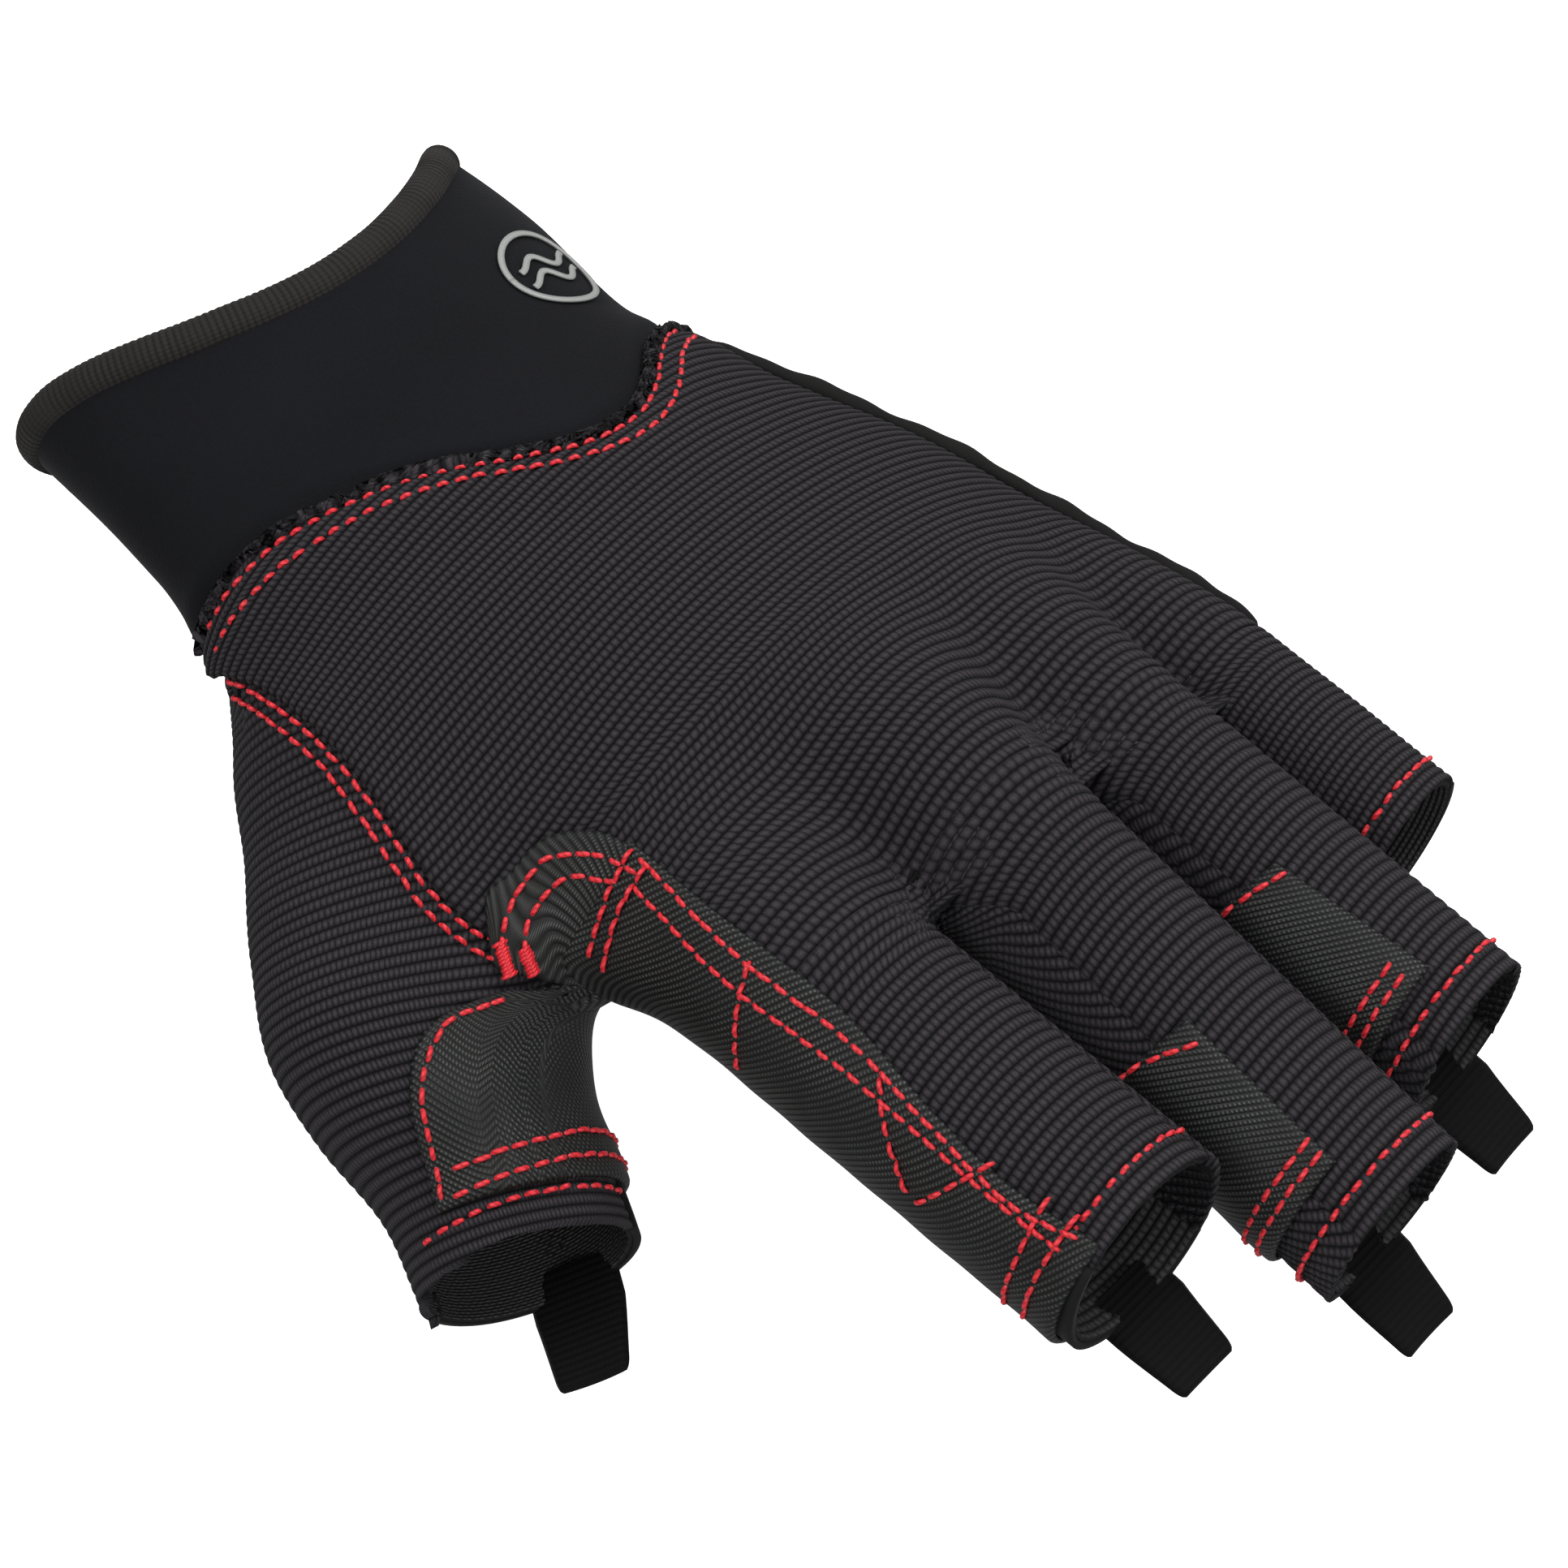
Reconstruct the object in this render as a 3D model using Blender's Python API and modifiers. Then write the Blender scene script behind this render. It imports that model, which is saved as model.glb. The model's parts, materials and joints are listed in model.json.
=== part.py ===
"""Short-finger sailing glove for the left hand, lying palm down. Metres, +Z up.

The hand frame has the wrist at its origin, the fingertips towards -Y, the thumb at -X and the
back of the hand up. It is pitched and rolled so that the cuff, thumb and little finger touch
the table, and moved so that the origin is at the middle of the underside.
"""

import math

import bpy
import numpy as np
from mathutils import Matrix, Vector

# How the hand lies on the table
HAND_ROLL = math.radians(8.0)     # thumb side up
HAND_PITCH = math.radians(-6.2)   # fingertips up

# Cloth
GAP = 0.0006          # between neighbouring pieces
KNIT = 0.0014         # stretch knit of the back, thumb and finger sides
PALM = 0.0012         # synthetic suede of the palm
TWILL = 0.0009        # reinforcing patches
NEOPRENE = 0.0024
BINDING_RADIUS = 0.0021
TAB = 0.0016          # doubled webbing
FILM = 0.0004         # heat-transfer emblem
LAYER = 0.0003        # how far a sewn-on layer stands off the cloth below

# Hand and cuff sections: y, centre x, centre z, half width, half height, arch (1/m)
HAND_SECTIONS = (
    (0.043, 0.0050, -0.0010, 0.0350, 0.0200, 0.0),
    (0.020, 0.0012, 0.0000, 0.0348, 0.0185, 0.0),
    (0.000, -0.0005, 0.0000, 0.0360, 0.0185, 0.0),
    (-0.025, 0.0035, 0.0005, 0.0412, 0.0175, 2.0),
    (-0.050, 0.0092, 0.0010, 0.0466, 0.0158, 4.5),
    (-0.082, 0.0137, 0.0020, 0.0485, 0.0140, 6.8),
)
ARCH_CENTRE = 0.003   # x of the highest knuckle
FRONT = -0.082        # knuckle line, where the finger stalls start

# Cuff
HEM_SIDE, HEM_DIP = 0.041, 0.015      # hem at the sides, and how far it is cut back on top
HEM_WAVE = 0.004      # cut back further on the little-finger side of the top
SEAM_MIDDLE, SEAM_TILT = -0.0012, -0.0055      # its seam to the hand
SEAM_DIP, SEAM_DIP_AT, SEAM_DIP_WIDTH = 0.015, math.radians(79), math.radians(30)
EMBLEM_ANGLES, EMBLEM_ENDS = (26, 58), (0.0195, 0.0085)
WRIST_HINGE_Y, WRIST_FOLD_END = 0.002, 0.0095

# Fingers: hinge point, yaw and droop in degrees, length from the hinge, half widths and half
# heights at the hinge and the tip
FINGERS = {
    "index": ((-0.0211, -0.091, -0.0028), 0.5, 4.0, 0.0395, (0.0136, 0.0138), (0.0127, 0.0120)),
    "middle": ((0.0064, -0.091, -0.0008), 1.1, 14.0, 0.0567, (0.0122, 0.0122), (0.0128, 0.0115)),
    "ring": ((0.0311, -0.090, -0.0061), 3.6, 10.7, 0.0479, (0.0111, 0.0114), (0.0123, 0.0110)),
    "little": ((0.0533, -0.084, -0.0161), 5.0, 10.9, 0.0290, (0.0103, 0.0108), (0.0117, 0.0105)),
}
FOLD = 0.009          # half length of the soft stretch at each finger's hinge
STALL_SPARE = 0.02    # each stall's tube is worked out this far behind its hinge
STRETCH_START = 0.014  # the soft stretch starts no further back than this
END_SLANT = 0.0018    # each stall is cut this much shorter on its back than on its centre line

# Thumb: the axis runs from root to tip, and the stall starts at a plane across it
THUMB_ROOT, THUMB_TIP = Vector((-0.0180, -0.001, -0.008)), Vector((-0.0604, -0.073, -0.0300))
THUMB_HALF_WIDTH, THUMB_HALF_HEIGHT = (0.0210, 0.0142), (0.0185, 0.0130)
THUMB_KNUCKLE = (0.60, 0.0024, 0.0024)  # share of the length, shift outwards, extra half width
THUMB_SPARE = 0.03                    # the tube is worked out this far behind its root
THUMB_ROLL = math.radians(-30)        # its back turns towards the thumb side
THUMB_TAB_TURN = math.radians(62)     # its tab is sewn on towards the index finger
THUMB_BACK_ANGLES, THUMB_PALM_ANGLES, THUMB_PATCH_ANGLES = (-60, 130), (130, 300), (30, 190)
THUMB_PATCH_SHARES = (0.64, 0.91)      # of the thumb's length
THUMB_HINGE = Vector((-0.0420, -0.038, -0.0210))
THUMB_HINGE_AXIS = Vector((-0.05, -1.0, -0.12)).normalized()
HAND_EDGE_X, THUMB_START_X = -0.0385, -0.0455

# Pull tabs: width, length, gap to the rim, and the free end's width as a share of the sewn end's
TAB_WIDTH, TAB_LENGTH, TAB_OUT, TAB_TAPER = 0.0122, 0.0095, 0.0014, 0.78
TAB_DROOP, THUMB_TAB_DROOP = math.radians(14), math.radians(-8)
TAB_ROUNDING = 0.0006

COLOURS = {
    "knit": ((0.030, 0.029, 0.033, 1.0), 0.92),
    "palm": ((0.016, 0.017, 0.017, 1.0), 0.80),
    "twill": ((0.033, 0.036, 0.034, 1.0), 0.62),
    "neoprene": ((0.010, 0.011, 0.017, 1.0), 0.78),
    "binding": ((0.022, 0.019, 0.018, 1.0), 0.85),
    "webbing": ((0.006, 0.006, 0.006, 1.0), 0.80),
    "emblem": ((0.520, 0.530, 0.510, 1.0), 0.45),
}


class Limb:
    """A tapering tube of elliptical section in its own frame: it runs along -Y, its back is +Z."""

    def __init__(self, frame, sections, place=Matrix()):
        self.frame, self.place = frame, place
        table = np.array(sections)
        self.sections = table[table[:, 0].argsort()]

    def point(self, y, angle, out=0.0):
        """The surface point at y and an angle from +X towards +Z, moved out by a distance."""
        keys = self.sections[:, 0]
        x0, z0, width, height, arch = (np.interp(y, keys, c) for c in self.sections[:, 1:].T)
        x = x0 + (width + out) * math.cos(angle)
        z = z0 + (height + out) * math.sin(angle) - arch * (x - ARCH_CENTRE) ** 2
        return Vector((x, y, z))

    def reach(self, angle, normal, distance):
        """The y where the surface line at this angle meets a plane across the outer frame."""
        low, high = self.sections[0, 0], self.sections[-1, 0]
        sign = math.copysign(1.0, normal.dot(self.place @ self.point(high, angle)) - distance)
        for _ in range(30):
            middle = 0.5 * (low + high)
            if sign * (normal.dot(self.place @ self.point(middle, angle)) - distance) > 0:
                high = middle
            else:
                low = middle
        return middle


def clear_scene():
    for obj in list(bpy.data.objects):
        bpy.data.objects.remove(obj)


def make_material(name):
    colour, roughness = COLOURS[name]
    material = bpy.data.materials.new(name)
    material.use_nodes = True
    shader = material.node_tree.nodes["Principled BSDF"]
    shader.inputs["Base Color"].default_value = colour
    shader.inputs["Roughness"].default_value = roughness
    shader.inputs["Metallic"].default_value = 0.0
    return material


def make_empty(name, parent, place):
    empty = bpy.data.objects.new(name, None)
    empty.parent = parent
    empty.matrix_local = place
    parts.objects.link(empty)
    return empty


def add_piece(name, mesh, parent, cloth):
    piece = bpy.data.objects.new(name, mesh)
    piece.parent = parent
    mesh.materials.append(make_material(cloth))
    mesh.shade_smooth()
    mesh.set_sharp_from_angle(angle=math.radians(40))
    parts.objects.link(piece)
    return piece


def solidify(piece, thickness, outwards):
    modifier = piece.modifiers.new("thickness", "SOLIDIFY")
    modifier.thickness = thickness
    modifier.offset = 1.0 if outwards else -1.0
    modifier.use_even_offset = True


def loft(name, limb, angles, ends, cloth, thickness, layer=0.0, steps=(6, 5)):
    """A curved shell on a limb between two angles in degrees and two ends.

    An end is a y or a function of the angle. Layer 0 is a base panel, whose outer face is the
    limb's surface; a patch lies on it, layer metres further out. 360 degrees makes a tube.
    """
    around, along = steps
    start, stop = (math.radians(a) for a in angles)
    tube = angles[1] - angles[0] >= 360
    if not tube:
        trim = 0.5 * GAP / np.mean(limb.sections[:, 3:5])
        start, stop = start + trim, stop - trim
    columns = np.linspace(start, stop, around + 1)
    if tube:
        columns = columns[:-1]
    vertices = []
    for angle in columns:
        near, far = (end(angle) if callable(end) else end for end in ends)
        vertices += [limb.point(y, angle, layer) for y in np.linspace(near, far, along + 1)]
    row = along + 1
    faces = []
    for i in range(around):
        j = (i + 1) % len(columns)
        faces += [(i * row + k, j * row + k, j * row + k + 1, i * row + k + 1) for k in range(along)]
    mesh = bpy.data.meshes.new(name)
    mesh.from_pydata(vertices, [], faces)
    piece = add_piece(name, mesh, limb.frame, cloth)
    solidify(piece, thickness, outwards=layer > 0)
    return piece


def smooth_bump(value, low, high):
    """0 outside low..high, rising to 1 halfway between."""
    t = min(max((value - low) / (high - low), 0.0), 1.0)
    return math.sin(math.pi * t) ** 2


def hem(angle):
    """The cuff's hem: longest at the sides and on the palm, cut back over the wrist's back."""
    lift = max(math.sin(angle), 0.0)
    return HEM_SIDE - HEM_DIP * lift ** 1.5 - HEM_WAVE * lift * max(math.cos(angle), 0.0)


def cuff_seam(angle):
    """Where the hand's panels meet the cuff: it dips towards the fingers over the wrist's back."""
    from_dip = (angle % (2 * math.pi) - SEAM_DIP_AT) / SEAM_DIP_WIDTH
    return SEAM_MIDDLE + SEAM_TILT * math.cos(angle) - SEAM_DIP * math.exp(-from_dip ** 2)


def make_cuff(hand, frame):
    limb = Limb(frame, hand.sections - np.array([WRIST_HINGE_Y, 0, 0, 0, 0, 0]))
    fold_end = WRIST_FOLD_END - WRIST_HINGE_Y
    edge = BINDING_RADIUS + 1.5 * GAP
    loft("cuff_neoprene", limb, (0, 360), (lambda a: hem(a) - WRIST_HINGE_Y - edge, fold_end),
         "neoprene", NEOPRENE, steps=(28, 4))
    loft("wrist_neoprene", hand, (0, 360), (WRIST_FOLD_END - GAP, lambda a: cuff_seam(a) + GAP),
         "neoprene", NEOPRENE, steps=(28, 3))
    make_binding(limb)
    loft("cuff_emblem", limb, EMBLEM_ANGLES, EMBLEM_ENDS, "emblem", FILM, layer=LAYER,
         steps=(5, 2))


def make_binding(limb):
    """The ribbed binding rolled round the cuff's edge."""
    curve = bpy.data.curves.new("cuff_binding", "CURVE")
    curve.dimensions = "3D"
    curve.bevel_depth = BINDING_RADIUS
    curve.bevel_resolution = 2
    spline = curve.splines.new("POLY")
    angles = np.linspace(0, 2 * math.pi, 44, endpoint=False)
    spline.points.add(len(angles) - 1)
    for point, angle in zip(spline.points, angles):
        place = limb.point(hem(angle) - WRIST_HINGE_Y, angle, -0.5 * NEOPRENE)
        point.co = (*place, 1.0)
    spline.use_cyclic_u = True
    curve.materials.append(make_material("binding"))
    binding = bpy.data.objects.new("cuff_binding", curve)
    binding.parent = limb.frame
    parts.objects.link(binding)


# Hand panels and patches, in degrees from the little-finger side over the back
ULNAR_SEAM = 21
BACK_THUMB_SIDE, PALM_THUMB_SIDE = (164, -16), (166, 48)   # at rest, and opened by the thumb hole
THUMB_HOLE = (-0.074, -0.004)
PALM_PATCH_ANGLES, PALM_PATCH_ENDS = (222, 322), (-0.018, FRONT + 0.006)
CROTCH_ANGLES, CROTCH_ENDS = (140, 170), (-0.060, FRONT + 0.003)


def thumb_side(angle_at_rest, spread):
    """A panel edge beside the thumb hole: its angle opens by spread over the hole's length."""
    return lambda y: angle_at_rest + spread * smooth_bump(y, *THUMB_HOLE)


def make_hand(hand):
    """The panels of the hand shell: back, palm, palm patch, crotch patch and finger webs."""
    hand_panel("back_panel", hand, lambda y: ULNAR_SEAM, thumb_side(*BACK_THUMB_SIDE),
               "knit", KNIT, (12, 9))
    hand_panel("palm_panel", hand, thumb_side(*PALM_THUMB_SIDE), lambda y: ULNAR_SEAM + 358,
               "palm", PALM, (16, 9))
    loft("palm_patch", hand, PALM_PATCH_ANGLES, PALM_PATCH_ENDS, "twill", TWILL,
         layer=LAYER, steps=(9, 5))
    loft("crotch_patch", hand, CROTCH_ANGLES, CROTCH_ENDS, "twill", TWILL, layer=LAYER,
         steps=(4, 3))


def hand_panel(name, hand, low, high, cloth, thickness, steps):
    """A panel from the cuff seam to the knuckle line, between two angles that vary with y."""
    around, along = steps
    vertices = []
    for i in range(around + 1):
        for k in range(along + 1):
            y = FRONT * k / along
            angle = math.radians(low(y) + (high(y) - low(y)) * i / around)
            seam = cuff_seam(angle) - GAP
            vertices.append(hand.point(seam + (FRONT - seam) * k / along, angle))
    row = along + 1
    faces = [(i * row + k, (i + 1) * row + k, (i + 1) * row + k + 1, i * row + k + 1)
             for i in range(around) for k in range(along)]
    mesh = bpy.data.meshes.new(name)
    mesh.from_pydata(vertices, [], faces)
    solidify(add_piece(name, mesh, hand.frame, cloth), thickness, outwards=False)


# Panels round each stall: from and to, in degrees from the little-finger side over the back
FINGER_PANELS = {
    "index": (("back", 38, 140, "knit"), ("palm", 140, 322, "palm"),
              ("ulnar_gusset", -38, 38, "knit")),
    "middle": (("back", 40, 140, "knit"), ("radial_gusset", 140, 220, "knit"),
               ("palm", 220, 320, "palm"), ("ulnar_gusset", -40, 40, "knit")),
    "ring": (("back", 40, 140, "knit"), ("radial_gusset", 140, 220, "knit"),
             ("palm", 220, 320, "palm"), ("ulnar_gusset", -40, 40, "knit")),
    "little": (("back", 24, 140, "knit"), ("radial_gusset", 140, 220, "knit"),
               ("palm", 220, 384, "palm")),
}
# Twill patches: from and to in degrees, then from and to as shares of the stall's length
FINGER_PATCHES = {
    "index": ("index_wrap", 122, 236, 0.26, 0.90),
    "middle": ("middle_patch", 134, 226, 0.36, 0.84),
    "ring": ("ring_patch", 134, 226, 0.36, 0.84),
}


def make_finger(hand, name):
    hinge, yaw, droop, length, widths, heights = FINGERS[name]
    place = (Matrix.Translation(hinge) @ Matrix.Rotation(math.radians(yaw), 4, "Z")
             @ Matrix.Rotation(math.radians(droop), 4, "X"))
    frame = make_empty(name + "_hinge", hand.frame, place)
    limb = Limb(frame, [(STALL_SPARE, 0, 0, widths[0], heights[0], 0),
                        (-length, 0, 0, widths[1], heights[1], 0)], place)
    front = Vector((0, 1, 0))

    def rim(angle):
        return END_SLANT * math.sin(angle) - length

    for suffix, low, high, cloth in FINGER_PANELS[name]:
        thickness = KNIT if cloth == "knit" else PALM
        loft(f"{name}_{suffix}", limb, (low, high), (-FOLD, rim), cloth, thickness,
             steps=(max(4, round((high - low) / 16)), 4))
    loft(f"{name}_knuckle_knit", limb, (0, 360),
         (lambda a: min(limb.reach(a, front, FRONT - GAP), STRETCH_START), GAP - FOLD),
         "knit", KNIT, steps=(20, 2))
    if name in FINGER_PATCHES:
        patch, low, high, near, far = FINGER_PATCHES[name]
        loft(patch, limb, (low, high), (-length * near, -length * far), "twill", TWILL,
             layer=LAYER, steps=(6, 3))
    if name != "little":
        make_tab(name, frame, length, heights[1], 0.0, TAB_DROOP)


def make_tab(name, frame, length, below, turn, droop):
    """A doubled webbing tab on the palm side of a rim, with its origin on its own hinge line."""
    rim = Vector((0, -length - END_SLANT - TAB_OUT, -below + 0.5 * TAB))
    place = (Matrix.Rotation(turn, 4, "Y") @ Matrix.Translation(rim)
             @ Matrix.Rotation(droop, 4, "X"))
    hinge = make_empty(name + "_tab_hinge", frame, place)
    bpy.ops.mesh.primitive_cube_add(size=1)
    tab = bpy.context.object
    tab.name = tab.data.name = name + "_tab"
    for collection in tab.users_collection:
        collection.objects.unlink(tab)
    parts.objects.link(tab)
    stretch = Matrix.Diagonal((TAB_WIDTH, TAB_LENGTH, TAB, 1.0))
    tab.data.transform(Matrix.Translation((0, -0.5 * TAB_LENGTH, 0)) @ stretch)
    for vertex in tab.data.vertices:
        if vertex.co.y < -0.5 * TAB_LENGTH:
            vertex.co.x *= TAB_TAPER
    tab.parent = hinge
    tab.data.materials.append(make_material("webbing"))
    bevel = tab.modifiers.new("rounded", "BEVEL")
    bevel.width = TAB_ROUNDING
    bevel.segments = 2


def make_thumb(hand):
    """The thumb stall: two panels and a patch past the hinge, and a soft stretch before it."""
    axis = (THUMB_TIP - THUMB_ROOT).normalized()
    side = axis.cross(Vector((0, 0, 1))).normalized()
    back = side.cross(axis)
    turn = Matrix((side, -axis, back)).transposed().to_4x4() @ Matrix.Rotation(THUMB_ROLL, 4, "Y")
    hinge = make_empty("thumb_hinge", hand.frame, Matrix.Translation(THUMB_HINGE))
    place = Matrix.Translation(THUMB_ROOT - THUMB_HINGE) @ turn
    frame = make_empty("thumb_axis", hinge, place)
    length = (THUMB_TIP - THUMB_ROOT).length
    taper = [(near - far) / length for near, far in (THUMB_HALF_WIDTH, THUMB_HALF_HEIGHT)]
    share, shift, extra = THUMB_KNUCKLE
    sections = [(y, bulge * shift, 0, THUMB_HALF_WIDTH[0] + taper[0] * y + bulge * extra,
                 THUMB_HALF_HEIGHT[0] + taper[1] * y, 0)
                for y, bulge in ((THUMB_SPARE, 0), (0, 0), (-share * length, 1), (-length, 0))]
    limb = Limb(frame, sections, place)
    across = Vector((1, 0, 0))

    def at_x(x):
        return lambda a: limb.reach(a, across, x - THUMB_HINGE.x)

    def rim(angle):
        return END_SLANT * math.sin(angle) - length

    ends = (at_x(THUMB_START_X), rim)
    loft("thumb_back", limb, THUMB_BACK_ANGLES, ends, "knit", KNIT, steps=(11, 6))
    loft("thumb_palm", limb, THUMB_PALM_ANGLES, ends, "palm", PALM, steps=(11, 6))
    near, far = THUMB_PATCH_SHARES
    loft("thumb_patch", limb, THUMB_PATCH_ANGLES, (-near * length, -far * length), "twill", TWILL,
         layer=LAYER, steps=(9, 3))
    loft("thumb_base_knit", limb, (0, 360), (at_x(HAND_EDGE_X), at_x(THUMB_START_X + GAP)),
         "knit", KNIT, steps=(22, 2))
    make_tab("thumb", frame, length, THUMB_HALF_HEIGHT[1], THUMB_TAB_TURN, THUMB_TAB_DROOP)


def settle_on_table(hand_frame):
    """Moves the hand frame so that the glove's box stands on the origin."""
    bpy.context.view_layer.update()
    graph = bpy.context.evaluated_depsgraph_get()
    corners = []
    for obj in parts.objects:
        if obj.type != "EMPTY":
            shape = obj.evaluated_get(graph)
            mesh = shape.to_mesh()
            corners += [shape.matrix_world @ vertex.co for vertex in mesh.vertices]
            shape.to_mesh_clear()
    low, high = np.min(corners, axis=0), np.max(corners, axis=0)
    hand_frame.location -= Vector(((low[0] + high[0]) / 2, (low[1] + high[1]) / 2, low[2]))
    bpy.context.view_layer.update()


clear_scene()
parts = bpy.data.collections.new("sailing_glove")
bpy.context.scene.collection.children.link(parts)
lie = Matrix.Rotation(HAND_PITCH, 4, "X") @ Matrix.Rotation(HAND_ROLL, 4, "Y")
hand_frame = make_empty("hand_frame", None, lie)
hand_limb = Limb(hand_frame, HAND_SECTIONS)
cuff_frame = make_empty("wrist_hinge", hand_frame, Matrix.Translation((0, WRIST_HINGE_Y, 0)))
make_hand(hand_limb)
make_cuff(hand_limb, cuff_frame)
for finger in FINGERS:
    make_finger(hand_limb, finger)
make_thumb(hand_limb)
settle_on_table(hand_frame)
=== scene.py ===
"""Looks of the short-finger sailing glove: fine cloth panels, stitching, binding and tabs.

Shapes are worked out in the hand frame (wrist at the origin, fingertips towards -Y, thumb at -X,
back of the hand up) from driving dimensions close to the CAD model's, then placed in the world.
Angles go round a limb from the little-finger side (0) over the back (90) to the palm (270).
"""

import json
import math

import bpy
import numpy as np
from mathutils import Matrix, Vector


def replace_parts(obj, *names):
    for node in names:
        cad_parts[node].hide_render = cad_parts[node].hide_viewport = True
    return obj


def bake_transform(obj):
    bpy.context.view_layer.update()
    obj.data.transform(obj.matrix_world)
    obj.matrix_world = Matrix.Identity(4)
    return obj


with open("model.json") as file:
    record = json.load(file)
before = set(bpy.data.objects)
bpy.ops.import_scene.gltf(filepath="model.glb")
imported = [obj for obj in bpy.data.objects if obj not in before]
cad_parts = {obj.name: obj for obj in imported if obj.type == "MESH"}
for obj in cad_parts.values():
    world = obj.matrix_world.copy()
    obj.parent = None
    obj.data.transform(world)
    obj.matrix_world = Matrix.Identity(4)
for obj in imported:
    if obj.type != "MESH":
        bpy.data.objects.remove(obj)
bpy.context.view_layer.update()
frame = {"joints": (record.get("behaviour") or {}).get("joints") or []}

# ---------------------------------------------------------------- driving dimensions
# Most are the CAD model's; HAND_SECTIONS and the hem differ from it by a millimetre or more in places
HAND_ROLL, HAND_PITCH = math.radians(8.0), math.radians(-6.2)
HAND_SECTIONS = (     # y, centre x, centre z, half width, half height, arch (1/m)
    (0.043, 0.0037, -0.0010, 0.0337, 0.0200, 0.0),
    (0.020, 0.0021, 0.0000, 0.0357, 0.0185, 0.0),
    (0.000, -0.0005, 0.0000, 0.0360, 0.0185, 0.0),
    (-0.025, 0.0035, 0.0005, 0.0412, 0.0175, 2.0),
    (-0.050, 0.0099, 0.0010, 0.0473, 0.0158, 4.5),
    (-0.082, 0.0137, 0.0020, 0.0485, 0.0140, 6.8),
)
ARCH_CENTRE = 0.003
FRONT = -0.082
HEM_SIDE, HEM_TILT = 0.0416, -0.0022
HEM_DIP, HEM_DIP_AT, HEM_DIP_WIDTH = 0.0183, math.radians(87), math.radians(58)
SEAM_MIDDLE, SEAM_TILT = -0.0012, -0.0055
SEAM_DIP, SEAM_DIP_AT, SEAM_DIP_WIDTH = 0.015, math.radians(79), math.radians(30)
WRIST_Y = 0.002
FINGERS = {
    "index": ((-0.0211, -0.091, -0.0028), 0.5, 4.0, 0.0395, (0.0136, 0.0138), (0.0127, 0.0120)),
    "middle": ((0.0064, -0.091, -0.0008), 1.1, 14.0, 0.0567, (0.0122, 0.0122), (0.0128, 0.0115)),
    "ring": ((0.0311, -0.090, -0.0061), 3.6, 10.7, 0.0479, (0.0111, 0.0114), (0.0123, 0.0110)),
    "little": ((0.0533, -0.084, -0.0161), 5.0, 10.9, 0.0290, (0.0103, 0.0108), (0.0117, 0.0105)),
}
FOLD = 0.009
END_SLANT = 0.0018
THUMB_ROOT, THUMB_TIP = Vector((-0.0180, -0.001, -0.008)), Vector((-0.0604, -0.073, -0.0300))
THUMB_ROLL = math.radians(-30)
THUMB_LENGTH = (THUMB_TIP - THUMB_ROOT).length
THUMB_SECTIONS = (    # share of the length, shift outwards, half width, half height
    (-0.25, -0.0045, 0.0125, 0.0145),
    (0.00, -0.0045, 0.0155, 0.0168),
    (0.12, -0.0038, 0.0177, 0.0174),
    (0.23, -0.0007, 0.0197, 0.0173),
    (0.35, 0.0010, 0.0205, 0.0168),
    (0.50, 0.0040, 0.0209, 0.0160),
    (0.66, 0.0066, 0.0199, 0.0146),
    (0.77, 0.0053, 0.0174, 0.0134),
    (0.885, 0.0017, 0.0147, 0.0130),
    (1.00, 0.0000, 0.0141, 0.0129),
)
TAB_WIDTH, TAB_LENGTH, TAB_OUT, TAB_TAPER, TAB = 0.0122, 0.0095, 0.0014, 0.78, 0.0016
TAB_DROOP, THUMB_TAB_DROOP = math.radians(14), math.radians(-8)
THUMB_TAB_TURN, THUMB_TAB_BELOW = math.radians(62), 0.0130
MM = 0.001

# ---------------------------------------------------------------- cloth
KNIT, SUEDE, TWILL, NEOPRENE = 0.0012, 0.0010, 0.0009, 0.0022
RIB_HEIGHT = 0.00026
RIB_PITCH_HAND, RIB_PITCH_FINGER = 0.00122, 0.00155
LOOP_PITCH = 0.00095          # bumps along a rib
RIB_STEPS = 5                 # mesh rows for each rib
STALL_RADIUS, THUMB_RADIUS, CUFF_RADIUS = 0.0125, 0.018, 0.035    # rough ones, to space columns and cloth

lie = Matrix.Rotation(HAND_PITCH, 4, "X") @ Matrix.Rotation(HAND_ROLL, 4, "Y")
wrist = next(joint["pos_m"] for joint in frame["joints"] if joint["name"] == "wrist_bend")
HAND_ORIGIN = Vector(wrist) - lie @ Vector((0, WRIST_Y, 0))
place_hand = np.array(Matrix.Translation(HAND_ORIGIN) @ lie)


def to_world(points):
    return points @ place_hand[:3, :3].T + place_hand[:3, 3]


def smoothstep(value, low, high):
    t = np.clip((value - low) / (high - low), 0.0, 1.0)
    return t * t * (3 - 2 * t)


def smooth_interp(at, keys, table):
    """Cubic interpolation through the rows of a table, held constant past its ends."""
    slopes = np.gradient(table, keys, axis=0)
    i = np.clip(np.searchsorted(keys, at) - 1, 0, len(keys) - 2)
    gap = keys[i + 1] - keys[i]
    t = np.clip((at - keys[i]) / gap, 0, 1)[..., None]
    gap = gap[..., None]
    return ((2 * t**3 - 3 * t**2 + 1) * table[i] + (t**3 - 2 * t**2 + t) * gap * slopes[i]
            + (3 * t**2 - 2 * t**3) * table[i + 1] + (t**3 - t**2) * gap * slopes[i + 1])


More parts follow.
